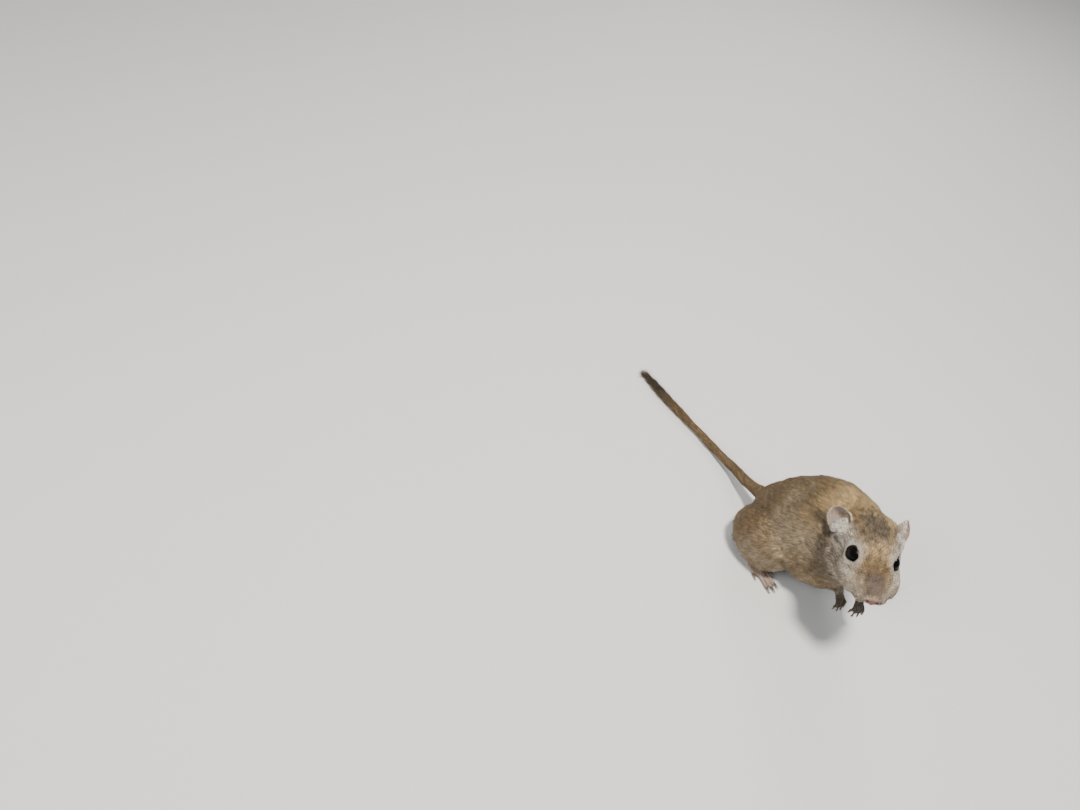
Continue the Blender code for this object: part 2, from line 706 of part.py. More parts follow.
def main():
    """Build the gerbil and seat it on the floor."""
    for obj in list(bpy.data.objects):
        bpy.data.objects.remove(obj, do_unlink=True)

    whole = flesh()
    fine = thinned(copy_of(whole, "fine"), HEAD_MESH_RATIO)
    plain = thinned(whole, BODY_MESH_RATIO)
    swollen = [swelled(copy_of(plain, "swollen"), GAP), swelled(copy_of(fine, "swollen"), GAP)]

    # Regions that divide the flesh
    head_turn = head_matrix().to_3x3()
    head_centre = in_head((3.0, 0.0, -2.0))
    head_size = Vector((20.0, 20.0, 21.0))
    neck_centre = in_head((0.0, 0.0, -3.0))
    neck_size = Vector((23.5, 24.5, 26.0))

    def region(centre, size, grow, turn=None):
        return ball("region", centre, [s + grow for s in size], turn, 22)

    head = combine(fine, region(head_centre, head_size, 0.0, head_turn), "INTERSECT")
    head.name = "head"
    rest = combine(plain, region(head_centre, head_size, GAP, head_turn), "DIFFERENCE")
    neck = copy_of(rest, "neck")
    combine(neck, region(neck_centre, neck_size, 0.0, head_turn), "INTERSECT")
    combine(rest, region(neck_centre, neck_size, GAP, head_turn), "DIFFERENCE")

    nodes = [head, neck]
    floor = block("above", (-200, -100, 1.2), (200, 100, 100))
    combine(rest, floor, "INTERSECT")
    for side in ("left", "right"):
        sign = 1 if side == "left" else -1
        centre, size = Vector((-10.0, 22.0 * sign, 13.0)), Vector((19.0, 14.5, 17.5))
        thigh = copy_of(rest, "thigh_" + side)
        combine(thigh, region(centre, size, 0.0), "INTERSECT")
        combine(rest, region(centre, size, GAP), "DIFFERENCE")
        nodes.append(thigh)
        foot = hind_foot(side)
        place = hind_place(side)
        side_way = place.to_3x3() @ Vector((0, 1, 0))
        room = ((-1.8, 3.2, 4.2), (1.5, 3.9, 4.8), (9.0, 4.2, 4.7), (18.0, 5.2, 4.0), (30.0, 7.0, 3.6))
        rings = [section(place @ Vector((x, 0, 1.0)), w, h, 4.0, side_way, Vector((0, 0, 1)), 2.6, 20)
                 for x, w, h in room]
        envelope = loft("foot envelope", rings)
        combine(thigh, envelope, "DIFFERENCE", keep_other=True)
        combine(rest, envelope, "DIFFERENCE")
        nodes.append(foot)

        leg = foreleg_shape(side, 0.0)
        leg.name = "foreleg_" + side
        combine(rest, foreleg_shape(side, GAP), "DIFFERENCE")
        combine(rest, palm_shape(side, 1.3 * GAP), "DIFFERENCE")
        paw = forepaw(side)
        wrist = paw_place(side) @ Vector((-4.4, 0, 0.3))
        combine(paw, ball("wrist", wrist, [2.35 + GAP] * 3, None, 18), "DIFFERENCE")
        combine(paw, foreleg_shape(side, GAP), "DIFFERENCE")
        combine(leg, ball("wrist", wrist, [2.35] * 3, None, 18), "UNION")
        nodes += [leg, paw]

    # Tail root seated in the rump
    tail = tail_lengths()
    seat = tube("seat", TAIL_PATH[:4], [r + GAP for r in TAIL_RADII[:4]], 16, 3)
    combine(rest, seat, "DIFFERENCE")
    rest.name = "torso"
    nodes += [rest] + tail

    # Eyes, lids and ears
    for side in ("left", "right"):
        eye_centre = in_head(mirrored(EYE_AT, side))
        combine(head, lid_cup(side), "UNION")
        combine(head, ball("socket", eye_centre, [EYE_RADIUS + GAP] * 3, head_turn, 24), "DIFFERENCE")
        nodes.append(ball("eye_" + side, eye_centre, [EYE_RADIUS] * 3, head_turn, 20))
        shell = ear(side)
        for form in swollen:
            combine(shell, form, "DIFFERENCE", keep_other=True)
        nodes.append(shell)
    drop(*swollen)
    for cutter in face_cutters(head):
        combine(head, cutter, "DIFFERENCE")

    fur = (0.42, 0.29, 0.17)
    pink = (0.62, 0.42, 0.36)
    black = (0.012, 0.010, 0.010)
    for node in nodes:
        if node.name.startswith("eye"):
            colour(node, node.name + "_surface", black, 0.1)
        elif node.name.startswith(("ear", "hind_foot", "forepaw")):
            colour(node, node.name + "_surface", pink, 0.6)
        else:
            colour(node, node.name + "_surface", fur, 0.8)
        node.data.shade_smooth()
        node.data.set_sharp_from_angle(angle=math.radians(50))
        node.data.name = node.name

    corners = np.array([corner.co for node in nodes for corner in node.data.vertices])
    low, high = corners.min(axis=0), corners.max(axis=0)
    shift = Vector((-(low[0] + high[0]) / 2, -(low[1] + high[1]) / 2, -low[2]))
    for node in nodes:
        node.data.transform(Matrix.Translation(shift))
        node.data.update()


main()
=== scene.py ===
"""Looks of a life-size Mongolian gerbil that sits up, with its head turned to its own right.

One skin takes the place of the solids of flesh and lies inside them by the depth of the coat.
The coat is tufts of solid mesh that grow from it and follow its lie. The body heads along +X,
its left side is +Y, and the floor is z = 0.
"""

import functools
import math

import bmesh
import bpy
import numpy as np
from bpy.props import FloatProperty, FloatVectorProperty, PointerProperty
from mathutils import Matrix, Vector
from mathutils.bvhtree import BVHTree


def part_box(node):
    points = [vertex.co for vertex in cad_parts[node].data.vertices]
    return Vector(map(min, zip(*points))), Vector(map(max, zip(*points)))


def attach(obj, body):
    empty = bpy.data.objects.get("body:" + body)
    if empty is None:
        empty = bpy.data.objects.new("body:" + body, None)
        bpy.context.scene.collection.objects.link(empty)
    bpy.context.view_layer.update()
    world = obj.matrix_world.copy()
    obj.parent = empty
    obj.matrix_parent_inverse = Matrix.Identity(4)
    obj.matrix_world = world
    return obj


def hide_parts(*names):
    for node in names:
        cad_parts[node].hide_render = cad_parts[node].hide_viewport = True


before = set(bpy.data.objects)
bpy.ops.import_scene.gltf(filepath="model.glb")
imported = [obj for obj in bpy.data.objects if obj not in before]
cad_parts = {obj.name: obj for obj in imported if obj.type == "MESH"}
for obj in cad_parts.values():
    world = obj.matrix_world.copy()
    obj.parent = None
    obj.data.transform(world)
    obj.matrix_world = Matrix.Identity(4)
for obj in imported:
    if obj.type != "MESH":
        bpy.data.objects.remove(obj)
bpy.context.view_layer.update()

bl_info = {
    "name": "Gerbil looks",
    "version": (1, 0, 0),
    "blender": (4, 5, 0),
    "location": "3D View > Sidebar > Gerbil",
    "description": "Skin, coat, eyes, whiskers and claws of a life-size gerbil",
    "category": "Add Mesh",
}

MM = 0.001
SIDES = ("left", "right")
EARS = ("ear_left", "ear_right")
FLESH = (
    "torso", "neck", "head", "thigh_left", "thigh_right", "foreleg_left", "foreleg_right",
    "forepaw_left", "forepaw_right", "hind_foot_left", "hind_foot_right",
    "tail_root", "tail_middle", "tail_tip",
)

# Places in the body's frame and in the head's, in millimetres
HEAD_AT = Vector((29.2, -14.2, 56.05))
EYE_AT = Vector((0.85, 6.8, 0.9))
EYE_GAZE = Vector((0.45, 0.76, 0.47))
NOSE_TIP = Vector((18.3, 0.0, -5.4))
EAR_AT = {"left": Vector((-10.5, 11.4, 1.5)), "right": Vector((-10.2, -10.6, 2.5))}
EAR_AXIS = {"left": Vector((-0.74, 0.40, 0.54)), "right": Vector((-0.71, -0.64, 0.29))}
EAR_FACING = {"left": Vector((0.62, 0.74, 0.25)), "right": Vector((0.70, -0.62, 0.35))}
EAR_TUFT_AT = {"left": Vector((1.1, 0.2, -0.2)), "right": Vector((0.5, -1.3, 0.4))}
EAR_TUFT_SPREAD = (3.3, 3.3, 6.0)
EAR_LOBE_RADII = (1.9, 1.5, 4.2)
# Line of painted shadow under each cheek
CHEEK_SHADOW_LINE = ((-17.8, 18.5, -0.9), (-13.6, 15.7, -2.0), (-9.9, 14.5, -6.9), (-7.3, 14.5, -13.0),
              (-5.5, 12.0, -18.0), (-2.5, 7.4, -19.8))
HIND_AT = Vector((-17.0, 17.5, 0.0))
HIND_TURN = 8.0
HIND_TOES = ((-2.9, -14.0, 0.62, 13.5), (-1.7, -5.0, 0.95, 18.5), (0.0, 0.0, 1.0, 19.0),
             (1.7, 5.0, 0.95, 18.5), (2.9, 14.0, 0.62, 14.5))
PAW_AT = {"left": Vector((37.4, -5.4, 20.6)), "right": Vector((30.8, -10.9, 20.6))}
PAW_TURN = {"left": -42.0, "right": -16.0}
PAW_DROOP = 38.0
PAW_DIGITS = ((-1.8, -16.0, 0.8, 1.2), (-0.6, -5.0, 1.0, 1.2), (0.6, 5.0, 1.0, 1.2), (1.8, 16.0, 0.8, 1.2))
MOUTH_LINE = ((-4.4, 9.0, -10.6), (-3.4, 10.9, -10.1), (-1.8, 12.5, -9.8), (0.0, 13.1, -9.6),
              (1.8, 12.5, -9.8), (3.4, 10.9, -10.1), (4.4, 9.0, -10.6))
MOUTH_RADII = (0.08, 0.2, 0.26, 0.28, 0.26, 0.2, 0.08)
CLEFT_HEIGHTS = (-6.3, -7.3, -8.8)
CLEFT_RADII = (0.14, 0.2, 0.24)
NOSTRIL_AT = (17.0, 1.35, -5.3)
NOSTRIL_AIM = (-0.8, -0.62, 0.05)
NOSTRIL_CURL = (-0.35, 0.75, 0.55)
NOSTRIL_RADII = (0.12, 0.42, 0.34)
NOSE_PAD_AT = (18.0, 0.0, -5.7)
NOSE_PAD_RADII = (1.7, 2.2, 1.55)
TAIL_PATH = (
    (-16.0, 0.0, 18.5), (-23.5, 0.2, 16.0), (-33.0, 2.4, 10.9), (-44.5, 5.8, 6.0),
    (-57.0, 7.6, 3.2), (-72.0, 8.0, 2.45), (-90.0, 8.0, 2.1), (-104.0, 8.3, 1.7),
    (-115.0, 8.9, 1.3),
)
TAIL_RADII = (4.6, 4.2, 3.4, 3.0, 2.8, 2.6, 2.2, 1.75, 1.25)
TAIL_TIP_FROM = 0.72

# Claws: reach and height of a digit's end, places of the hook beyond it, and thickness at the root
CLAWS = {
    "hind": (8.0, 1.15, ((-0.5, 0.0), (1.3, 0.45), (2.7, -0.3)), 0.56),
    "fore": (4.0, -1.0, ((-0.4, 0.0), (1.0, -0.8), (1.6, -2.2)), 0.46),
}

# Whiskers: rows and whiskers in a row, where they start, and the steps along a row and from row to row
WHISKER_ROWS, WHISKERS_IN_ROW = 4, 5
WHISKER_FROM = (14.2, -4.9)
WHISKER_STEP = (-1.25, 0.25)
WHISKER_ROW_STEP = (-0.2, -0.95)

# Coat of each region: length, width, tufts per square millimetre, lift in degrees, depth
COAT = {
    "torso": (3.0, 0.165, 23.0, 13.0, 1.3),
    "neck": (2.7, 0.16, 24.0, 14.0, 1.0),
    "head": (1.8, 0.14, 27.0, 17.0, 0.6),
    "thigh": (2.9, 0.165, 23.0, 12.0, 1.2),
    "foreleg": (1.9, 0.15, 24.0, 13.0, 0.6),
    "forepaw": (1.1, 0.12, 26.0, 10.0, 0.2),
    "hind_foot": (1.1, 0.11, 16.0, 9.0, 0.25),
    "tail": (1.9, 0.16, 14.0, 9.0, 0.5),
    "ear": (1.0, 0.10, 22.0, 14.0, 0.15),
}
REGIONS = tuple(COAT)
COAT_PIECE_LIMIT = 190000
GAP_FILLING = 0.2
SKIN_SHARE_KEPT = 0.44

# Lamps: offset from the body, size in metres, power in watts and colour
LAMPS = {
    "key": ((0.04, -0.10, 0.73), 0.12, 8.8, (1.0, 0.95, 0.87)),
    "fill": ((-0.22, -0.66, 0.48), 0.5, 3.3, (0.95, 0.97, 1.0)),
    "rim": ((-0.45, 0.5, 0.5), 0.4, 2.6, (1.0, 1.0, 1.0)),
}
LAMPS_AIM = (12.0, -2.0, 30.0)
SKY_COLOUR, SKY_STRENGTH = (0.90, 0.94, 1.0, 1.0), 0.30
FLOOR_SIZE = 1.6

# Camera: lens and sensor in millimetres, its place, and the picture's right and down in the body's frame
LENS, SENSOR = 25.0, 36.0
CAMERA_AT = (47.52, -229.8, 300.63)
PICTURE_RIGHT = Vector((0.5628, 0.8140, 0.1438))
PICTURE_DOWN = Vector((0.6915, -0.3684, -0.6213))

# How the coat grows and where mouth, nostrils and lids run, once the skin is made
PLAN = {}


# Settings

def length(name, default, description):
    """Size in metres that a user may change."""
    return FloatProperty(name=name, default=default, min=0.0, unit="LENGTH", precision=5,
                         description=description)


def hue(name, default, description):
    """Colour that a user may change."""
    return FloatVectorProperty(name=name, default=default, size=3, min=0.0, max=1.0, subtype="COLOR",
                               description=description)


class GerbilForm(bpy.types.PropertyGroup):
    """Sizes of the head, its parts and the skin."""
    head_yaw: FloatProperty(name="Head turn", default=math.radians(-49), subtype="ANGLE",
                            description="Turn of the head to its own left")
    head_pitch: FloatProperty(name="Head pitch", default=math.radians(9), subtype="ANGLE",
                              description="Lift of the nose")
    head_roll: FloatProperty(name="Head roll", default=math.radians(5.5), subtype="ANGLE",
                             description="Lean of the head, its left side up")
    eye_radius: length("Eye radius", 0.0032, "Radius of the ball of the eye")
    lid_angle: FloatProperty(name="Lid angle", default=math.radians(61), subtype="ANGLE",
                             description="Half the opening of the lids, seen from the eye's centre")
    lid_tube: length("Lid rim", 0.00034, "Half the thickness of the rim of the lids")
    ear_height: length("Ear height", 0.0114, "Height of an ear, its root included")
    ear_width: length("Ear width", 0.0108, "Width of an ear")
    ear_thickness: length("Ear thickness", 0.0006, "Thickness of the shell of an ear")
    ear_cup: length("Ear cup", 0.0033, "Depth of the hollow of an ear")
    skin_voxel: length("Skin cell", 0.00036, "Cell in which the skin is fused from the solids")
    whisker: length("Whisker length", 0.0175, "Length of the longest whiskers")
    whisker_thickness: length("Whisker thickness", 0.00006, "Thickness of a whisker at its root")


class GerbilColours(bpy.types.PropertyGroup):
    """Colours of the coat, the bare skin and the eyes."""
    buff: hue("Buff", (0.41, 0.275, 0.13), "Golden band of the hairs of the back")
    flank: hue("Flank", (0.64, 0.51, 0.345), "Paler, greyer hairs of the shoulder and flank")
    # The crown's colour also paints the shadow under the cheeks and below the head
    crown: hue("Crown", (0.175, 0.132, 0.083), "Grey-brown hairs between the ears")
    cheek: hue("Cheek", (0.45, 0.37, 0.285), "Greyish hairs of the cheek")
    cream: hue("Golden cream", (0.58, 0.405, 0.195), "Light hairs of the forehead and the nape")
    # Gold also paints shade: over the rump's rear side in part, and in the coat's folds
    gold: hue("Golden brown", (0.27, 0.17, 0.07), "Darker golden hairs of the rump and the folds of the coat")
    bridge: hue("Bridge", (0.17, 0.11, 0.05), "Golden-brown hairs of the bridge of the nose")
    patch: hue("Patch", (0.135, 0.11, 0.10), "Grey-brown patch above the nose")
    pale: hue("Pale ring", (0.62, 0.56, 0.48), "Whitish hairs round the eye and by the mouth")
    belly: hue("Belly", (0.70, 0.64, 0.54), "Cream hairs of the belly")
    # Dark also paints the shade inside the nostrils and along the mouth's groove
    dark: hue("Dark tips", (0.035, 0.022, 0.014), "Dark ends of the guard hairs")
    # Slate also darkens the skin between the hairs, partly as painted shade
    slate: hue("Slate roots", (0.085, 0.062, 0.045), "Roots of the hairs")
    tail: hue("Tail", (0.17, 0.112, 0.05), "Golden-brown hairs of the tail")
    down: hue("Down", (0.72, 0.66, 0.59), "Fine pale hairs of the ears")
    # Paws is painted shade: the forepaws' hairs darkened for the shade they sit in
    paws: hue("Paws", (0.085, 0.066, 0.05), "Fine hairs of the forepaws")
    pink: hue("Bare skin", (0.44, 0.325, 0.27), "Skin of ears, hind feet and soles")
    # Digits is painted shade: the forepaws' skin darkened for the shade it sits in
    digits: hue("Digits", (0.065, 0.048, 0.04), "Skin of the forepaws")
    nose: hue("Nose", (0.215, 0.105, 0.095), "Skin of the nose")
    claw: hue("Claws", (0.10, 0.07, 0.05), "Horn of the claws")
    eye: hue("Eye", (0.003, 0.0022, 0.002), "Ball of the eye")
    lid: hue("Lids", (0.010, 0.007, 0.006), "Bare rim of the lids")
    floor: hue("Floor", (0.70, 0.69, 0.67), "Plain floor")


def form():
    """Sizes set in the scene."""
    return bpy.context.scene.gerbil_form


def colours():
    """Colours set in the scene."""
    return bpy.context.scene.gerbil_colours


# Frames and small geometry

@functools.cache
def middle(node):
    """Centre of the box of a solid."""
    low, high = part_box(node)
    return (low + high) / 2


@functools.cache
def placed_head(yaw, pitch, roll):
    """Place of the head for the way that it is turned."""
    turn = Matrix.Rotation(yaw, 4, "Z") @ Matrix.Rotation(-pitch, 4, "Y") @ Matrix.Rotation(roll, 4, "X")
    between = (middle("eye_left") + middle("eye_right")) / 2
    seat = Vector((EYE_AT.x, 0.0, EYE_AT.z)) * MM
    return Matrix.Translation(between - turn.to_3x3() @ seat) @ turn


def head_frame():
    """Place of the head: its origin between the eyes, +X to the nose and +Y to its left."""
    f = form()
    return placed_head(f.head_yaw, f.head_pitch, f.head_roll)


def body_frame():
    """Frame of the body, in which its places are given."""
    return Matrix.Translation(head_frame().translation - HEAD_AT * MM)


def mirrored(vector, side):
    """Vector of the left side, or its mirror for the right."""
    return Vector(vector) if side == "left" else Vector((vector[0], -vector[1], vector[2]))


def in_head(point):
    """Point of the head in millimetres, in the frame of the model."""
    return head_frame() @ (Vector(point) * MM)


def in_body(point):
    """Point of the body in millimetres, in the frame of the model."""
    return body_frame() @ (Vector(point) * MM)


def paw_frame(side):
    """Frame of a forepaw in the body's, in millimetres."""
    return (Matrix.Translation(PAW_AT[side]) @ Matrix.Rotation(math.radians(PAW_TURN[side]), 4, "Z")
            @ Matrix.Rotation(math.radians(PAW_DROOP), 4, "Y"))


def foot_frame(side):
    """Frame of a hind foot in the body's, in millimetres."""
    sign = 1 if side == "left" else -1
    turn = Matrix.Rotation(math.radians(HIND_TURN * sign), 4, "Z")
    return Matrix.Translation(mirrored(HIND_AT, side)) @ turn


def ease(values, low, high):
    """Smooth step from 0 at low to 1 at high."""
    t = np.clip((values - low) / (high - low), 0.0, 1.0)
    return t * t * (3.0 - 2.0 * t)


def unit(vectors):
    """Rows of an array, each at length one."""
    return vectors / np.maximum(np.linalg.norm(vectors, axis=1), 1e-9)[:, None]


def smooth_path(points, steps):
    """Points along a smooth line through a few places (Catmull-Rom)."""
    places = [Vector(p) for p in points]
    last = len(places) - 1
    line = []
    for i in range(last):
        a, b, c, d = places[max(i - 1, 0)], places[i], places[i + 1], places[min(i + 2, last)]
        for k in range(steps):
            t = k / steps
            line.append(0.5 * ((2 * b) + (c - a) * t + (2 * a - 5 * b + 4 * c - d) * t * t
                               + (3 * b - a - 3 * c + d) * t ** 3))
    line.append(places[-1])
    return line


def sweep(bm, path, radii, sides):
    """Round bar along a path, from a circle that is extruded from place to place."""
    def station(i):
        ahead = (path[min(i + 1, len(path) - 1)] - path[max(i - 1, 0)]).normalized()
        turn = ahead.to_track_quat("Z", "Y").to_matrix().to_4x4()
        return Matrix.Translation(path[i]) @ turn @ Matrix.Diagonal((radii[i], radii[i], radii[i], 1.0))

    made = bmesh.ops.create_circle(bm, cap_ends=True, segments=sides, radius=1.0, matrix=station(0))
    ring = made["verts"]
    cap = [face for face in ring[0].link_faces if all(v in ring for v in face.verts)]
    for i in range(1, len(path)):
        grown = bmesh.ops.extrude_face_region(bm, geom=cap)
        if i > 1:
            bmesh.ops.delete(bm, geom=cap, context="FACES_ONLY")
        ring = [g for g in grown["geom"] if isinstance(g, bmesh.types.BMVert)]
        cap = [g for g in grown["geom"] if isinstance(g, bmesh.types.BMFace)]
        bmesh.ops.transform(bm, verts=ring, matrix=station(i) @ station(i - 1).inverted())


def linked(name, mesh):
    """New object in the scene that shows a mesh."""
    piece = bpy.data.objects.new(name, mesh)
    bpy.context.scene.collection.objects.link(piece)
    return piece


def from_bmesh(name, bm, smooth=True):
    """Object made of a bmesh, its faces outward."""
    bmesh.ops.recalc_face_normals(bm, faces=bm.faces)
    mesh = bpy.data.meshes.new(name)
    bm.to_mesh(mesh)
    bm.free()
    if smooth:
        mesh.shade_smooth()
    return linked(name, mesh)


def settled(piece):
    """Piece with its modifiers made part of its mesh."""
    graph = bpy.context.evaluated_depsgraph_get()
    mesh = bpy.data.meshes.new_from_object(piece.evaluated_get(graph))
    piece.modifiers.clear()
    piece.data = mesh
    return piece


def combined(piece, other, operation):
    """Boolean of a closed mesh with another, which is used up; only the largest shell is kept."""
    boolean = piece.modifiers.new("combine", "BOOLEAN")
    boolean.operation = operation
    boolean.solver = "MANIFOLD"
    boolean.object = other
    settled(piece)
    bpy.data.objects.remove(other)
    largest_shell(piece)


def largest_shell(piece):
    """Drop every scrap that isn't joined to the main surface."""
    mesh = piece.data
    count = len(mesh.vertices)
    ends = np.zeros(len(mesh.edges) * 2, np.int32)
    mesh.edges.foreach_get("vertices", ends)
    ends = ends.reshape(-1, 2)
    shell = np.arange(count)
    while True:
        low = np.minimum(shell[ends[:, 0]], shell[ends[:, 1]])
        spread_to = shell.copy()
        np.minimum.at(spread_to, ends[:, 0], low)
        np.minimum.at(spread_to, ends[:, 1], low)
        spread_to = spread_to[spread_to]
        if np.array_equal(spread_to, shell):
            break
        shell = spread_to
    names, sizes = np.unique(shell, return_counts=True)
    if len(names) > 1:
        keep = names[np.argmax(sizes)]
        bm = bmesh.new()
        bm.from_mesh(mesh)
        bm.verts.ensure_lookup_table()
        scrap = [bm.verts[i] for i in np.flatnonzero(shell != keep)]
        bmesh.ops.delete(bm, geom=scrap, context="VERTS")
        bm.to_mesh(mesh)
        bm.free()
    return piece


# Skin

def tail_core(bm):
    """Core of the tail's end, which stands in for the solid with its locks."""
    line = smooth_path(TAIL_PATH, 4)
    radii = [v.x for v in smooth_path([(r, 0, 0) for r in TAIL_RADII], 4)]
    first = int(len(line) * TAIL_TIP_FROM) - 1
    path, sizes = line[first:], radii[first:]
    ahead = (path[-1] - path[-2]).normalized()
    for share in (0.5, 0.85, 0.98):
        path.append(line[-1] + ahead * radii[-1] * share)
        sizes.append(radii[-1] * math.sqrt(1.0 - share * share))
    sweep(bm, [in_body(p) for p in path], [r * MM for r in sizes], 16)


def fused_flesh():
    """The solids of flesh, grown over the gaps between them and fused into one surface."""
    bm = bmesh.new()
    for name in FLESH:
        if name != "tail_tip":
            bm.from_mesh(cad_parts[name].data)
    tail_core(bm)
    bmesh.ops.recalc_face_normals(bm, faces=bm.faces)
    bmesh.ops.remove_doubles(bm, verts=bm.verts, dist=1e-6)
    bm.normal_update()
    for vert in bm.verts:
        vert.co += vert.normal * GAP_FILLING * MM
    mesh = bpy.data.meshes.new("skin")
    bm.to_mesh(mesh)
    bm.free()
    skin = linked("skin", mesh)
    remesh = skin.modifiers.new("fuse", "REMESH")
    remesh.mode = "VOXEL"
    remesh.voxel_size = form().skin_voxel
    soften = skin.modifiers.new("soften", "SMOOTH")
    soften.factor = 0.5
    soften.iterations = 6
    return largest_shell(settled(skin))


def mesh_arrays(mesh):
    """Points, normals and edges of a mesh as arrays."""
    points = np.zeros(len(mesh.vertices) * 3, np.float32)
    mesh.vertices.foreach_get("co", points)
    normals = np.zeros(len(mesh.vertices) * 3, np.float32)
    mesh.vertex_normals.foreach_get("vector", normals)
    ends = np.zeros(len(mesh.edges) * 2, np.int32)
    mesh.edges.foreach_get("vertices", ends)
    return points.reshape(-1, 3).astype(float), normals.reshape(-1, 3).astype(float), ends.reshape(-1, 2)


def spread(values, ends, rounds):
    """Ease the values of the vertices along the edges of a mesh."""
    a, b = ends[:, 0], ends[:, 1]
    count = len(values)
    links = np.maximum(np.bincount(ends.ravel(), minlength=count), 1)[:, None]
    for _ in range(rounds):
        total = np.empty_like(values)
        for k in range(values.shape[1]):
            total[:, k] = np.bincount(a, values[b, k], count) + np.bincount(b, values[a, k], count)
        values = 0.5 * values + 0.5 * total / links
    return values


def region_of(node):
    """Region of the coat that a solid belongs to."""
    return next(r for r in REGIONS if node.startswith(r))


def shares(points, ends, rounds):
    """How much of each vertex belongs to each region, eased across their borders."""
    corners, faces, names = [], [], []
    for node in FLESH + EARS:
        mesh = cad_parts[node].data
        mesh.calc_loop_triangles()
        start = len(corners)
        corners += [v.co.copy() for v in mesh.vertices]
        faces += [tuple(start + i for i in t.vertices) for t in mesh.loop_triangles]
        names += [REGIONS.index(region_of(node))] * len(mesh.loop_triangles)
    tree = BVHTree.FromPolygons(corners, faces)
    held = np.zeros((len(points), len(REGIONS)))
    for i, p in enumerate(points):
        held[i, names[tree.find_nearest(Vector(p))[2]]] = 1.0
    return spread(held, ends, rounds)


def of_head(points):
    """Places in the head's frame, in millimetres."""
    inverse = np.array(head_frame().inverted())
    return (points @ inverse[:3, :3].T + inverse[:3, 3]) / MM


def of_body(points):
    """Places in the body's frame, in millimetres."""
    return (points - np.array(body_frame().translation)) / MM


def near_eye(points):
    """Distance to the nearer eye's centre in millimetres and the way along its ball toward the opening."""
    turn = head_frame().to_3x3()
    away = [(points - np.array(middle("eye_" + side))) / MM for side in SIDES]
    gazes = [np.array(turn @ mirrored(EYE_GAZE, side).normalized()) for side in SIDES]
    apart = [np.linalg.norm(a, axis=1) for a in away]
    nearer = (apart[1] < apart[0])[:, None]
    out = unit(np.where(nearer, away[1], away[0]))
    gaze = np.where(nearer, gazes[1], gazes[0])
    return np.minimum(*apart), unit(gaze - (out * gaze).sum(axis=1)[:, None] * out)


def shrink_to_skin(skin):
    """Move the fused surface inward by the depth of the coat over each region."""
    points, normals, ends = mesh_arrays(skin.data)
    held = shares(points, ends, 16)
    depth = held @ np.array([COAT[r][4] for r in REGIONS])
    head = of_head(points)
    muzzle = ease(head[:, 0], -6.0, 8.0) * held[:, REGIONS.index("head")]
    depth = depth * (1.0 - 0.55 * muzzle) + GAP_FILLING
    lids = ease(-near_eye(points)[0], -5.8, -4.3)
    depth = depth * (1.0 - 0.82 * lids)
    smooth_normals = unit(spread(normals, ends, 6))
    points = points - smooth_normals * depth[:, None] * MM
    points = lids_drawn_in(points)
    points[:, 2] = np.maximum(points[:, 2], 0.02 * MM)
    skin.data.vertices.foreach_set("co", points.astype(np.float32).ravel())
    skin.data.update()
    thin = skin.modifiers.new("thin", "DECIMATE")
    thin.ratio = SKIN_SHARE_KEPT
    return settled(skin)


def ear_ways(side):
    """Ways up along an ear, out of its hollow and across it toward the nose."""
    axis = EAR_AXIS[side].normalized()
    facing = EAR_FACING[side]
    facing = (facing - axis * facing.dot(axis)).normalized()
    across = axis.cross(facing).normalized()
    return axis, facing, across if across.x > 0 else -across


def ear_lobe(side):
    """Furry lobe that stands in front of the hollow of an ear."""
    axis, facing, across = ear_ways(side)
    long, thick, high = EAR_LOBE_RADII
    centre = EAR_AT[side] + EAR_TUFT_AT[side] + axis * 1.5 + facing * 0.7
    bm = bmesh.new()
    bmesh.ops.create_uvsphere(bm, u_segments=32, v_segments=16, radius=1.0)
    for vert in bm.verts:
        x, y, z = vert.co
        vert.co = in_head(centre + axis * x * long + facing * y * thick + across * z * high)
    return from_bmesh("ear_lobe", bm)


def ear_shell(side):
    """Cupped ear: a sphere pressed into a thin dish with its front edge folded over the hollow."""
    f = form()
    axis, facing, across = ear_ways(side)
    height, width, thick, deep = (v / MM for v in (f.ear_height, f.ear_width, f.ear_thickness, f.ear_cup))
    centre = EAR_AT[side] + axis * (height / 2 - 2.2)
    bm = bmesh.new()
    bmesh.ops.create_uvsphere(bm, u_segments=72, v_segments=36, radius=1.0)
    for vert in bm.verts:
        x, y, z = vert.co
        reach = min(1.0, math.hypot(x, y))
        angle = math.atan2(y, x)
        u, v = math.cos(angle) * reach, math.sin(angle) * reach
        narrow = 1.0 - 0.5 * max(0.0, -v - 0.15) ** 0.8
        inside = max(0.0, 1.0 - reach * reach)
        # The cup with a ridge in it, the front edge folded forward, the back one flared, the rim thicker
        cup = -deep * inside ** 0.75 * (1.0 - 0.3 * u) * (1.0 - 0.15 * v)
        cup += 2.0 * math.exp(-((u - 0.45) / 0.33) ** 2 - ((v + 0.2) / 0.5) ** 2) * min(1.0, inside * 2.0)
        fold = 2.0 * max(0.0, u) ** 2 * max(0.0, 0.9 - 0.7 * v)
        flare = 0.5 * max(0.0, -u) * reach - 1.0 * v * v
        inward = -1.5 * max(0.0, u) ** 3 * max(0.0, 0.8 - 0.6 * v)
        shell = thick * 0.5 * (1.0 + 0.5 * ease(np.array(reach), 0.75, 0.95))
        lift = -0.45 + shell * math.copysign(min(1.0, abs(z) * 2.5) ** 0.6, z)
        p = centre + across * (u * width / 2 * narrow + inward) + axis * v * height / 2
        vert.co = in_head(p + facing * (cup + fold + flare + lift))
    return from_bmesh("ear", bm)


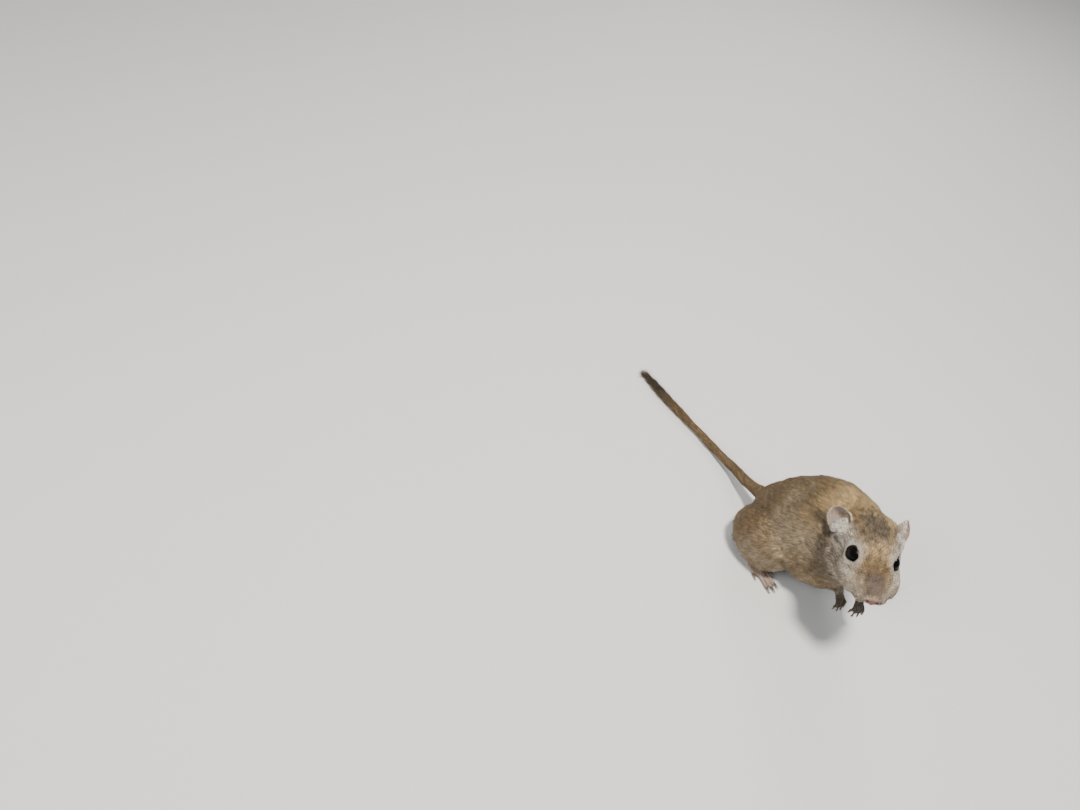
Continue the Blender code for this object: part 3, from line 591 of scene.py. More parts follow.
def lid_path(side, steps):
    """Line of the rim of the lids, drawn out a little toward the corners of the eye."""
    f = form()
    gaze = mirrored(EYE_GAZE, side).normalized()
    centre = mirrored(EYE_AT, side)
    forward = (Vector((1, 0, 0)) - gaze * gaze.x).normalized()
    upward = gaze.cross(forward)
    if upward.z < 0:
        upward = -upward
    radius = f.eye_radius / MM + 0.12
    path = []
    for i in range(steps):
        a = 2 * math.pi * i / steps
        swing = f.lid_angle + math.radians(8.0 * abs(math.cos(a)) ** 3 - 7.0 * math.sin(a) ** 2)
        out = forward * math.cos(a) + upward * math.sin(a)
        path.append(centre + (gaze * math.cos(swing) + out * math.sin(swing)) * radius)
    return path, centre


def lids_drawn_in(points):
    """Points above and below the eyes, slid over the balls until the skin meets the rims of the lids."""
    turn = head_frame().to_3x3()
    for side in SIDES:
        gaze = mirrored(EYE_GAZE, side).normalized()
        forward = (Vector((1, 0, 0)) - gaze * gaze.x).normalized()
        upward = np.array(turn @ gaze.cross(forward))
        gaze = np.array(turn @ gaze)
        away = points - np.array(in_head(mirrored(EYE_AT, side)))
        apart = np.linalg.norm(away, axis=1)
        angle = np.degrees(np.arccos(np.clip((away @ gaze) / apart, -1.0, 1.0)))
        across = unit(away - (away @ gaze)[:, None] * gaze)
        shift = 8.0 * (across @ upward) ** 2 * ease(-angle, -105.0, -64.0) * ease(-apart / MM, -6.0, -4.6)
        new = np.radians(angle - shift)[:, None]
        points = points + (gaze * np.cos(new) + across * np.sin(new)) * apart[:, None] - away
    return points


def lid_rim(side):
    """Rim of the lids: a torus laid along their line."""
    steps, around = 64, 12
    path, centre = lid_path(side, steps)
    bm = bmesh.new()
    ring = bmesh.ops.create_circle(bm, segments=around, radius=0.25, matrix=Matrix.Translation((1, 0, 0))
                                   @ Matrix.Rotation(math.pi / 2, 4, "X"))
    edges = list({e for v in ring["verts"] for e in v.link_edges})
    bmesh.ops.spin(bm, geom=ring["verts"] + edges, cent=(0, 0, 0), axis=(0, 0, 1), angle=2 * math.pi,
                   steps=steps, use_merge=True)
    bmesh.ops.remove_doubles(bm, verts=bm.verts, dist=1e-5)
    for vert in bm.verts:
        turn = math.atan2(vert.co.y, vert.co.x) % (2 * math.pi)
        i = round(turn / (2 * math.pi) * steps) % steps
        p = path[i]
        tangent = (path[(i + 1) % steps] - path[i - 1]).normalized()
        outward = (p - centre).normalized()
        beside = tangent.cross(outward).normalized()
        x = (math.hypot(vert.co.x, vert.co.y) - 1.0) / 0.25
        z = vert.co.z / 0.25
        vert.co = in_head(p + (beside * x + outward * z) * form().lid_tube / MM)
    return from_bmesh("lids", bm)


def ball(name, centre, radius):
    """Round ball, its poles turned with the head."""
    bm = bmesh.new()
    bmesh.ops.create_uvsphere(bm, u_segments=64, v_segments=32, radius=radius,
                              matrix=Matrix.Translation(centre) @ head_frame().to_3x3().to_4x4())
    return from_bmesh(name, bm)


def groove(name, path, radii):
    """Round bar that cuts a groove, its radius in millimetres."""
    line = smooth_path([tuple(p / MM) for p in path], 4)
    sizes = [v.x for v in smooth_path([(r, 0, 0) for r in radii], 4)]
    bm = bmesh.new()
    sweep(bm, [p * MM for p in line], [r * MM for r in sizes], 10)
    return from_bmesh(name, bm)


def face_grooves(skin):
    """Cut the line of the mouth, the cleft of the lip and the nostrils."""
    bm = bmesh.new()
    bm.from_mesh(skin.data)
    tree = BVHTree.FromBMesh(bm)
    bm.free()
    turn = head_frame().to_3x3()

    def on_skin(point, aim):
        start = in_head(Vector(point) - Vector(aim).normalized() * 9.0)
        return tree.ray_cast(start, (turn @ Vector(aim)).normalized())[0]

    mouth = [on_skin((x, y, z), (-0.5, -y * 0.08, 0.8)) for y, x, z in MOUTH_LINE]
    PLAN["mouth"] = np.array([tuple(p) for p in smooth_path(mouth, 12)])
    cutters = [groove("mouth", mouth, MOUTH_RADII)]
    cleft = [on_skin((20, 0, z), (-1, 0, 0)) for z in CLEFT_HEIGHTS]
    cutters.append(groove("cleft", cleft, CLEFT_RADII))
    nostrils = []
    for side in SIDES:
        aim = mirrored(NOSTRIL_AIM, side).normalized()
        spot = on_skin(mirrored(NOSTRIL_AT, side), aim)
        nostrils.append(tuple(spot))
        deep = turn @ aim
        back = turn @ mirrored(NOSTRIL_CURL, side).normalized()
        curl = [spot + back * 1.1 * MM + deep * 0.02 * MM, spot - deep * 0.05 * MM, spot + deep * 1.0 * MM]
        cutters.append(groove("nostril", curl, NOSTRIL_RADII))
    PLAN["nostrils"] = np.array(nostrils)
    for cutter in cutters:
        combined(skin, cutter, "DIFFERENCE")


def soften_near(skin, places, reach, rounds):
    """Smooth the skin close to a few places, given in millimetres of the head."""
    points = of_head(mesh_arrays(skin.data)[0])
    group = skin.vertex_groups.new(name="near")
    for place in places:
        apart = np.linalg.norm(points - np.array(place), axis=1)
        for i in np.flatnonzero(apart < reach):
            group.add([int(i)], float(1.0 - (apart[i] / reach) ** 2), "REPLACE")
    soften = skin.modifiers.new("soften", "SMOOTH")
    soften.factor = 0.5
    soften.iterations = rounds
    soften.vertex_group = "near"
    settled(skin)
    skin.vertex_groups.clear()


def mottle(points, size, seed):
    """Uneven value about 0, between -1 and 1, that changes over a size in millimetres."""
    draw = np.random.default_rng(seed)
    waves = draw.normal(size=(12, 3)) * 2.0 * math.pi / (size * 2.0)
    phases = draw.uniform(0.0, 2.0 * math.pi, 12)
    return np.clip(np.sin(points @ waves.T + phases).sum(axis=1) / 4.0, -1.0, 1.0)


def blend_to(base, colour, amount):
    """Colours moved toward one colour by an amount, one for all or one per point."""
    return base + (np.array(colour)[None, :] - base) * np.clip(np.atleast_1d(amount), 0.0, 1.0)[:, None]


def ear_flap(head):
    """How much of each place, in the head's frame, lies on the furry lobes in front of the ears."""
    flap = np.zeros(len(head))
    for side in SIDES:
        spot = np.array(EAR_AT[side] + EAR_TUFT_AT[side] + ear_ways(side)[0] * 0.8)
        away = np.linalg.norm((head - spot) / np.array(EAR_TUFT_SPREAD), axis=1)
        flap = np.maximum(flap, ease(-away, -1.3, -0.8))
    return flap


class Places:
    """Points of the skin as millimetres in the head's frame (hx, hy, hz) and the body's (bx, by, bz).

    Also how far each lies beside the head's middle (side), from the middle of the breast (breast),
    before or behind the cheeks (fore), from an eye (eye) and from the line of painted shadow under a cheek
    (band), how much it faces up (up), and its height, more where it faces up (high).
    """

    def __init__(self, points, normals):
        self.head, self.body = of_head(points), of_body(points)
        self.values = dict(zip(("hx", "hy", "hz"), self.head.T))
        self.values.update(zip(("bx", "by", "bz"), self.body.T))
        hx, hy, hz = self.head.T
        band = np.array([tuple(p) for p in smooth_path(CHEEK_SHADOW_LINE, 5)])
        folded = np.stack((hx, np.abs(hy), hz), axis=1)
        self.values.update(
            side=np.abs(hy), up=normals[:, 2], high=self.body[:, 2] + 6.0 * normals[:, 2],
            breast=np.abs(self.body[:, 1] + 3.0), fore=np.abs(hx + 6.0), eye=near_eye(points)[0],
            band=np.linalg.norm(folded[:, None, :] - band[None, :, :], axis=2).min(axis=1))

    def zone(self, **edges):
        """Share of each point in a zone: 0 at the first edge named for each value, 1 at the second."""
        share = 1.0
        for name, (outer, inner) in edges.items():
            share = share * ease(self.values[name], outer, inner)
        return share


def coat_colours_light_and_shade(at, held):
    """Colour of the coat, painted light and shade included, and strength of its dark tips, the same for skin
    and coat.
    """
    c = colours()
    share = {r: held[:, i] for i, r in enumerate(REGIONS)}
    trunk = np.clip(share["neck"] + share["torso"], 0, 1)
    on_head = np.clip(share["head"] + trunk * at.zone(hx=(-21, -8), hz=(-19, -12)), 0, 1)
    off_head = 1 - on_head
    colour = np.tile(np.array(c.buff), (len(held), 1))
    tips = np.full(len(held), 0.55)

    def dye_light_and_shade(name, amount):
        nonlocal colour
        colour = blend_to(colour, getattr(c, name), amount)

    # Body: a paler shoulder and flank, a golden nape with painted light, a darker rump partly painted shade,
    # cream beneath, painted light and shade of the coat's folds, and the head's painted shadow below the
    # cheek
    low = at.zone(high=(56, 36), bx=(-20, -4), bz=(10, 32)) * at.zone(bx=(22, 9))
    low = low * (1.0 - 0.45 * share["thigh"])
    dye_light_and_shade("flank", 0.75 * low)
    dye_light_and_shade("cheek", 0.5 * at.zone(bz=(28, 14)))
    # Painted light and shade of the coat's folds: upright streaks, paler on the ridges and darker golden in
    # the folds
    streak = mottle(at.body * np.array((1.0, 1.0, 0.3)), 4.5, 3)
    dye_light_and_shade("flank", 0.4 * ease(streak, 0.1, 0.8) * off_head)
    dye_light_and_shade("gold", 0.35 * ease(-streak, 0.2, 0.9) * off_head)
    nape = at.zone(bz=(48, 56), bx=(-12, 4), hx=(-9, -15))
    dye_light_and_shade("cream", 0.85 * nape)
    # Painted light: the nape lighter still than its golden cream
    colour = colour * (1.0 + 0.2 * nape)[:, None]
    tips *= (1.0 - 0.45 * nape) * (1.0 - 0.15 * low)
    # Darker golden rump, partly painted shade of the rear side
    dye_light_and_shade("gold", 0.75 * at.zone(bx=(-6, -18), bz=(48, 34)))
    breast = at.zone(breast=(7.5, 4), bx=(18, 24), bz=(27, 20))
    under = np.maximum(at.zone(up=(-0.5, -0.85), bz=(16, 8)), 0.75 * breast)
    dye_light_and_shade("belly", under * (1 - share["tail"]))
    tips *= 1.0 - 0.9 * under
    tips += 0.15 * at.zone(up=(0.5, 0.95)) * off_head * (1 - nape)
    # Painted shadow of the head on the neck below the cheek, in the crown's colour
    dye_light_and_shade("crown", 0.6 * at.zone(fore=(9, 4), hz=(-14.5, -18)) * at.zone(hz=(-34, -24)) * (1 - breast) * trunk)

    # Head: dark crown, golden forehead and bridge with a grey patch, greyish cheek over a band of painted
    # shadow
    crown = at.zone(hx=(0.5, -5), hz=(-1, 4.5)) * on_head
    dye_light_and_shade("crown", 0.85 * crown * (1 - 0.8 * at.zone(side=(3, 6.5))))
    cheek = at.zone(hz=(0.5, -5.5), hx=(-14, -6)) * on_head
    dye_light_and_shade("cheek", np.maximum(0.9 * cheek, 0.6 * share["head"] * (1 - crown)))
    dye_light_and_shade("pale", 0.75 * at.zone(side=(6, 8.8), hz=(-6, -1.5), hx=(-13, -6)) * on_head)
    forehead = at.zone(side=(6.5, 3), hx=(-3.5, 1), hz=(-4, 0)) * on_head
    dye_light_and_shade("cream", 0.8 * forehead)
    dye_light_and_shade("bridge", 0.85 * forehead * at.zone(hx=(3, 8)))
    tips += 0.4 * forehead * (1 - at.zone(hx=(12, 15))) + 0.2 * crown
    patch = at.zone(side=(4.6, 1.8), hx=(8.5, 11.5), hz=(-6, -3.6)) * at.zone(hx=(17.4, 15.8))
    dye_light_and_shade("patch", 0.8 * patch * on_head)
    # Painted shadow in a band under each cheek, in the crown's colour, with more dark tips
    band = at.zone(band=(3.6, 1.4))
    dye_light_and_shade("crown", 0.85 * band * (1 - at.zone(side=(18, 22))))
    tips += 0.2 * band
    ring = at.zone(eye=(6, 4.4)) * on_head
    dye_light_and_shade("pale", 0.6 * ring)
    flap = ear_flap(at.head) * np.clip(share["head"] + share["ear"], 0, 1)
    dye_light_and_shade("down", 0.85 * flap)
    lips = at.zone(hx=(6, 10), hz=(-8.4, -9.8)) * on_head
    dye_light_and_shade("belly", 0.6 * lips)
    dye_light_and_shade("belly", 0.35 * at.zone(hz=(-12.5, -15.5), up=(-0.1, -0.7)) * on_head)
    pads = at.zone(hx=(8, 12), side=(2.5, 4.5)) * on_head
    dye_light_and_shade("pale", 0.15 * pads)
    tips *= (1 - 0.8 * ring) * (1 - 0.9 * flap) * (1 - 0.5 * np.maximum(lips, pads))

    # Tail, legs, feet and ears
    dye_light_and_shade("tail", 0.9 * share["tail"])
    dye_light_and_shade("belly", 0.3 * share["tail"] * at.zone(up=(-0.3, -0.8)))
    dye_light_and_shade("dark", 0.8 * share["tail"] * at.zone(bx=(-86, -106), up=(-0.7, 0.2)))
    dye_light_and_shade("cheek", 0.85 * share["hind_foot"])
    # Painted shade: the forepaws' hairs darkened for the shade they sit in
    dye_light_and_shade("paws", 0.85 * share["forepaw"])
    dye_light_and_shade("crown", 0.6 * share["foreleg"])
    dye_light_and_shade("down", 0.85 * share["ear"])
    feet = np.clip(share["hind_foot"] + share["forepaw"], 0, 1)
    plain = np.clip(feet + share["ear"] + 0.3 * share["foreleg"], 0, 1)
    tips *= (1 - 0.3 * share["tail"]) * (1 - 0.9 * plain)

    uneven = mottle(at.body, 5.0, 4) * 0.06 + mottle(at.body, 1.6, 9) * 0.08
    colour = colour * (1.0 + uneven)[:, None]
    return np.clip(colour, 0.0, 1.0), np.clip(tips, 0.0, 1.0)


def nearest(points, places):
    """Distance to the nearest of a few places, in millimetres."""
    return np.linalg.norm(points[:, None, :] - places[None, :, :], axis=2).min(axis=1) / MM


def bareness(points, at, held):
    """How bare the skin is: the nose pad, the rims of the lids, the line of the mouth and the soles."""
    pad = np.linalg.norm((at.head - np.array(NOSE_PAD_AT)) / np.array(NOSE_PAD_RADII), axis=1)
    nose = np.maximum(ease(pad, 1.15, 0.8), ease(nearest(points, PLAN["nostrils"]), 1.15, 0.85))
    beside = at.values["eye"] < form().eye_radius / MM + 2.0
    lids = np.zeros(len(points))
    lids[beside] = ease(nearest(points[beside], PLAN["lids"]), 0.75, 0.5)
    mouth = ease(nearest(points, PLAN["mouth"]), 0.6, 0.3)
    feet = held[:, REGIONS.index("hind_foot")] + held[:, REGIONS.index("forepaw")]
    soles = np.clip(feet, 0, 1) * at.zone(bz=(0.9, 0.3))
    return nose, lids, mouth, soles


def in_ears(points):
    """Way that the hollow of the nearer ear faces."""
    head = of_head(points)
    turn = np.array(head_frame().to_3x3())
    facing = [np.array(EAR_FACING[side].normalized()) @ turn.T for side in SIDES]
    return np.where(head[:, 1:2] > 0.0, facing[0], facing[1])


def lie_of_coat(points, held):
    """Way that the hairs point, before it is laid into the surface."""
    head = of_head(points)
    turn = np.array(head_frame().to_3x3())
    tail_line = [in_body(p) for p in smooth_path(TAIL_PATH, 4)]
    ways = {}
    from_nose = unit(head - np.array(NOSE_TIP) - np.array((2.0, 0.0, 1.0)))
    ways["head"] = unit((from_nose + np.array((-0.5, 0.0, -0.1))) @ turn.T)
    body = of_body(points)
    rearward = np.tile(np.array((-1.0, 0.0, -0.38)), (len(points), 1))
    rearward[:, 2] -= 0.5 * ease(-body[:, 0], 6.0, 22.0)
    rearward[:, 2] -= 0.35 * ease(-body[:, 2], -34.0, -10.0)
    ways["torso"] = unit(rearward)
    ways["neck"] = unit(ways["head"] * 0.6 + ways["torso"] * 0.6)
    ways["thigh"] = np.tile(unit(np.array([(-0.75, 0.0, -0.75)])), (len(points), 1))
    leg = np.zeros_like(points)
    paw = np.zeros_like(points)
    apart = [np.linalg.norm(body - np.array(PAW_AT[side]), axis=1) for side in SIDES]
    nearer_left = apart[0] < apart[1]
    for side in SIDES:
        mask = nearer_left if side == "left" else ~nearer_left
        ahead = np.array(paw_frame(side).to_3x3() @ Vector((1, 0, 0)))
        paw[mask] = ahead
        leg[mask] = unit((ahead + np.array((0.1, 0.0, -0.7)))[None, :])[0]
    ways["foreleg"] = leg
    ways["forepaw"] = paw
    ways["hind_foot"] = np.tile(np.array((1.0, 0.0, -0.1)), (len(points), 1))
    line = np.array([tuple(p) for p in tail_line])
    steps = unit(np.diff(line, axis=0, append=line[-1:] * 2 - line[-2:-1]))
    closest = np.argmin(((points[:, None, :] - line[None, :, :]) ** 2).sum(axis=2), axis=1)
    ways["tail"] = steps[closest]
    ears = np.zeros_like(points)
    for side in SIDES:
        mask = head[:, 1] > 0 if side == "left" else head[:, 1] <= 0
        ears[mask] = np.array(EAR_AXIS[side].normalized()) @ turn.T
    ways["ear"] = ears
    total = np.zeros_like(points)
    for i, region in enumerate(REGIONS):
        total += held[:, i:i + 1] * ways[region]
    return total


def cleared(tree, points, normals, lie, size, lift):
    """Lift in degrees, raised where the surface rises ahead of the hairs and would bury them."""
    turn = np.radians(lift)[:, None]
    tips = points + (lie * np.cos(turn) + normals * np.sin(turn)) * size[:, None] * MM
    height = np.empty(len(points))
    for i, tip in enumerate(tips):
        tip = Vector(tip)
        place, out, _, _ = tree.find_nearest(tip)
        height[i] = (tip - place).dot(out) / MM
    wanted = 0.6 * size * np.sin(turn[:, 0]) + 0.1
    return lift + np.degrees(np.arctan2(np.maximum(wanted - height, 0.0), size))


def grow_plan(skin):
    """Write on the skin how its coat grows: lie, length, width, number, lift and colours, painted light and
    shade included.
    """
    mesh = skin.data
    points, normals, ends = mesh_arrays(mesh)
    held = shares(points, ends, 14)
    at = Places(points, normals)
    lie = spread(lie_of_coat(points, held), ends, 20)
    inward = near_eye(points)[1]
    toward = np.maximum((lie * inward).sum(axis=1), 0.0)
    lie = lie - (1.3 * at.zone(eye=(7.5, 4.8)) * toward)[:, None] * inward
    smooth_normals = unit(spread(normals, ends, 3))
    lie = unit(lie - (lie * smooth_normals).sum(axis=1)[:, None] * smooth_normals)

    size, width, number, lift, _ = (held @ np.array([COAT[r][k] for r in REGIONS]) for k in range(5))
    on_head = held[:, REGIONS.index("head")]
    muzzle = at.zone(hx=(-4, 13)) * on_head
    beside_eye = at.zone(eye=(6, 4.3)) * on_head
    end = at.zone(bx=(-72, -102)) * held[:, REGIONS.index("tail")]
    size *= (1.0 - 0.5 * muzzle) * (1.0 - 0.62 * beside_eye) * (1.0 - 0.35 * ear_flap(at.head) * on_head)
    size *= 1.0 + 2.9 * end
    width *= (1.0 - 0.35 * muzzle) * (1.0 - 0.3 * beside_eye) * (1.0 + 0.25 * end)
    number *= (1.0 + 0.9 * muzzle) * (1.0 + 0.4 * beside_eye) * (1.0 + 0.4 * end)
    lift += 2.0 * end
    nose, lids, mouth, soles = bareness(points, at, held)
    naked = np.clip(nose + lids + mouth + soles, 0, 1)
    number *= 1.0 - naked
    tree = BVHTree.FromObject(skin, bpy.context.evaluated_depsgraph_get())
    on_ears = held[:, REGIONS.index("ear")]
    raised = cleared(tree, points, smooth_normals, lie, size, lift)
    raised = np.minimum(cleared(tree, points, smooth_normals, lie, size, raised), 60.0)
    lift = spread(np.where(on_ears > 0.3, lift, raised)[:, None], ends, 3)[:, 0]
    colour, tips = coat_colours_light_and_shade(at, held)
    c = colours()
    # Skin between the hairs: the slate of the roots, with painted shade between the hairs
    bare = blend_to(colour, c.slate, 0.45)
    bare = blend_to(bare, c.pink, 0.85 * on_ears)
    bare = blend_to(bare, c.pink, 0.5 * held[:, REGIONS.index("hind_foot")])
    # Painted shade: the forepaws' skin darkened for the shade it sits in
    bare = blend_to(bare, c.digits, 0.85 * held[:, REGIONS.index("forepaw")])
    bare = blend_to(bare, c.pink, soles)
    bare = blend_to(bare, c.nose, nose)
    # Painted shade inside the nostrils and along the mouth's groove
    bare = blend_to(bare, c.dark, 0.85 * ease(nearest(points, PLAN["nostrils"]), 0.75, 0.4))
    bare = blend_to(bare, c.dark, 0.85 * mouth)
    bare = blend_to(bare, c.lid, lids)
    # Painted shade in each ear's hollow, partly its darker skin; the hollow also carries fewer hairs
    hollow = on_ears * ease((normals * in_ears(points)).sum(axis=1), 0.0, 0.6) * (1.0 - ear_flap(at.head))
    number = number * (1.0 - 0.65 * hollow)
    bare = blend_to(bare, c.slate, 0.45 * hollow)

    def store(name, kind, values):
        attribute = mesh.attributes.new(name, kind, "POINT")
        field = {"FLOAT": "value", "FLOAT_VECTOR": "vector", "FLOAT_COLOR": "color"}[kind]
        attribute.data.foreach_set(field, np.ascontiguousarray(values, np.float32).ravel())

    opaque = np.ones((len(points), 1))
    store("colour_with_light_and_shade", "FLOAT_COLOR", np.hstack((bare, opaque)))
    store("bare", "FLOAT", np.clip(naked + 0.6 * on_ears, 0, 1))
    return {"points": points, "normals": smooth_normals, "lie": lie, "length": size, "width": width,
            "number": number, "lift": lift, "colour": colour, "tips": tips, "held": held}


# Finishes

class Wire:
    """Output of a shader node, on which arithmetic adds Math nodes."""

    def __init__(self, finish, socket):
        self.finish, self.socket = finish, socket

    def maths(self, operation, first, second):
        return self.finish.node("ShaderNodeMath", {"operation": operation}, {0: first, 1: second}).out()

    def __add__(self, other):
        return self.maths("ADD", self, other)

    def __rsub__(self, other):
        return self.maths("SUBTRACT", other, self)

    def __mul__(self, other):
        return self.maths("MULTIPLY", self, other)


class Step:
    """Node in a finish."""

    def __init__(self, finish, node):
        self.finish, self.node = finish, node

    def out(self, name=0):
        return Wire(self.finish, self.node.outputs[name])


class Finish:
    """Material whose nodes are added one by one."""

    def __init__(self, name):
        self.material = bpy.data.materials.new(name)
        self.material.use_nodes = True
        self.tree = self.material.node_tree
        self.tree.nodes.clear()

    def node(self, kind, settings=None, sockets=None):
        """Add a node: its settings first, then the values and links of its sockets."""
        node = self.tree.nodes.new(kind)
        for name, value in (settings or {}).items():
            setattr(node, name, value)
        for name, value in (sockets or {}).items():
            if isinstance(value, Wire):
                self.tree.links.new(value.socket, node.inputs[name])
            else:
                node.inputs[name].default_value = value
        return Step(self, node)

    def attribute(self, name, output="Fac"):
        """Value of an attribute of the mesh."""
        return self.node("ShaderNodeAttribute", {"attribute_name": name}).out(output)

    def mix(self, factor, a, b, blend="MIX"):
        """Two colours mixed."""
        def as_colour(value):
            return value if isinstance(value, Wire) else (*value, 1.0)
        step = self.node("ShaderNodeMix", {"data_type": "RGBA", "blend_type": blend},
                         {0: factor, 6: as_colour(a), 7: as_colour(b)})
        return step.out(2)

    def ramp(self, value, low, high, start=0.0, end=1.0):
        """Value eased from start to end between low and high."""
        sockets = {"Value": value, "From Min": low, "From Max": high, "To Min": start, "To Max": end}
        return self.node("ShaderNodeMapRange", {"interpolation_type": "SMOOTHSTEP"}, sockets).out()

    def noise(self, scale, detail=2.0):
        """Cloudy value over the surface, its scale in cells per metre."""
        sockets = {"Vector": self.node("ShaderNodeTexCoord").out("Object"), "Scale": scale, "Detail": detail}
        return self.node("ShaderNodeTexNoise", None, sockets).out("Fac")

    def bump(self, height, strength, distance):
        """Normal tilted by a height."""
        sockets = {"Height": height, "Strength": strength, "Distance": distance}
        return self.node("ShaderNodeBump", None, sockets).out()

    def surface(self, **sockets):
        """Close the tree with the main shader."""
        names = {name.replace("_", " ").title().replace("Ior", "IOR"): v for name, v in sockets.items()}
        shader = self.node("ShaderNodeBsdfPrincipled", None, names)
        self.node("ShaderNodeOutputMaterial", None, {"Surface": shader.out()})
        return self.material


def coat_finish():
    """Hair: slate at the root, its colour with painted light and shade above, and dark at the tip where it is
    ticked.
    """
    c = colours()
    finish = Finish("coat_hair")
    along = finish.attribute("along")
    body = finish.attribute("colour_with_light_and_shade", "Color")
    shade = finish.mix(finish.ramp(along, 0.0, 0.35, 0.35, 1.0), c.slate, body)
    tip = finish.ramp(along, 0.45, 0.85) * finish.attribute("ticking")
    shade = finish.mix(tip, shade, c.dark)
    return finish.surface(base_color=shade, roughness=finish.noise(900.0) * 0.2 + 0.48,
                          sheen_weight=0.05, specular_ior_level=0.25)


def skin_finish():
    """Skin: its colour, painted shade included, with fine pores and creases, moister where it is bare."""
    finish = Finish("skin_surface")
    body = finish.attribute("colour_with_light_and_shade", "Color")
    cloud = finish.noise(700.0, 4.0)
    shade = finish.mix(cloud * 0.5, body, (0.55, 0.45, 0.4), "MULTIPLY")
    bare = finish.attribute("bare")
    pores = finish.noise(5200.0, 3.0)
    return finish.surface(base_color=shade, roughness=0.62 - bare * 0.2, specular_ior_level=0.14,
                          normal=finish.bump(pores, 0.5, 0.00012), subsurface_weight=0.12,
                          subsurface_radius=(0.0012, 0.0005, 0.0003), subsurface_scale=1.0)


def eye_finish():
    """Wet black ball with the faintest brown cloud in it."""
    c = colours()
    finish = Finish("eye_ball")
    cloud = finish.ramp(finish.noise(420.0, 2.0), 0.45, 0.75)
    shade = finish.mix(cloud, c.eye, (0.006, 0.004, 0.0035))
    return finish.surface(base_color=shade, roughness=0.05, specular_ior_level=0.07)


def horn_finish():
    """Dark horn, streaked along the claw and paler at its tip."""
    c = colours()
    finish = Finish("claw_horn")
    streak = finish.noise(2600.0, 3.0)
    along = finish.attribute("along")
    shade = finish.mix(finish.ramp(along, 0.4, 1.0) * 0.7, c.claw, (0.42, 0.33, 0.25))
    shade = finish.mix(streak * 0.6, shade, (0.4, 0.35, 0.3), "MULTIPLY")
    return finish.surface(base_color=shade, roughness=0.34, normal=finish.bump(streak, 0.3, 0.00005))


def whisker_finish():
    """Whisker, brown at the root and pale beyond it."""
    finish = Finish("whisker_hair")
    along = finish.attribute("along")
    shade = finish.mix(finish.ramp(along, 0.0, 0.5), (0.12, 0.09, 0.07), (0.38, 0.35, 0.31))
    return finish.surface(base_color=shade, roughness=finish.noise(1500.0) * 0.15 + 0.3)


def floor_finish():
    """Plain pale floor with the faintest grain."""
    finish = Finish("stage_floor")
    grain = finish.noise(60.0, 3.0)
    base = colours().floor
    shade = finish.mix(grain * 0.12, base, tuple(v * 0.86 for v in base))
    return finish.surface(base_color=shade, roughness=0.85)


# Coat

def unwrapped(skin, triangles):
    """Flat places of the corners of some of the skin's triangles, on an unwrap of its shape."""
    used, local = np.unique(triangles.ravel(), return_inverse=True)
    points = np.zeros(len(skin.data.vertices) * 3, np.float32)
    skin.data.vertices.foreach_get("co", points)
    mesh = bpy.data.meshes.new("unwrap")
    mesh.vertices.add(len(used))
    mesh.vertices.foreach_set("co", points.reshape(-1, 3)[used].ravel())
    fill_faces(mesh, local.reshape(-1, 3))
    piece = linked("unwrap", mesh)
    bpy.context.view_layer.objects.active = piece
    piece.select_set(True)
    bpy.ops.object.mode_set(mode="EDIT")
    bpy.ops.mesh.select_all(action="SELECT")
    bpy.ops.uv.smart_project(angle_limit=math.radians(66), island_margin=0.002)
    bpy.ops.object.mode_set(mode="OBJECT")
    flat = np.zeros(len(mesh.loops) * 2, np.float32)
    mesh.uv_layers.active.data.foreach_get("uv", flat)
    bpy.data.objects.remove(piece)
    return flat.reshape(-1, 3, 2)


def fill_faces(mesh, triangles):
    """Give a mesh its triangles."""
    count = len(triangles)
    mesh.loops.add(count * 3)
    mesh.loops.foreach_set("vertex_index", triangles.astype(np.int32).ravel())
    mesh.polygons.add(count)
    mesh.polygons.foreach_set("loop_start", np.arange(0, count * 3, 3, dtype=np.int32))
    mesh.update(calc_edges=True)


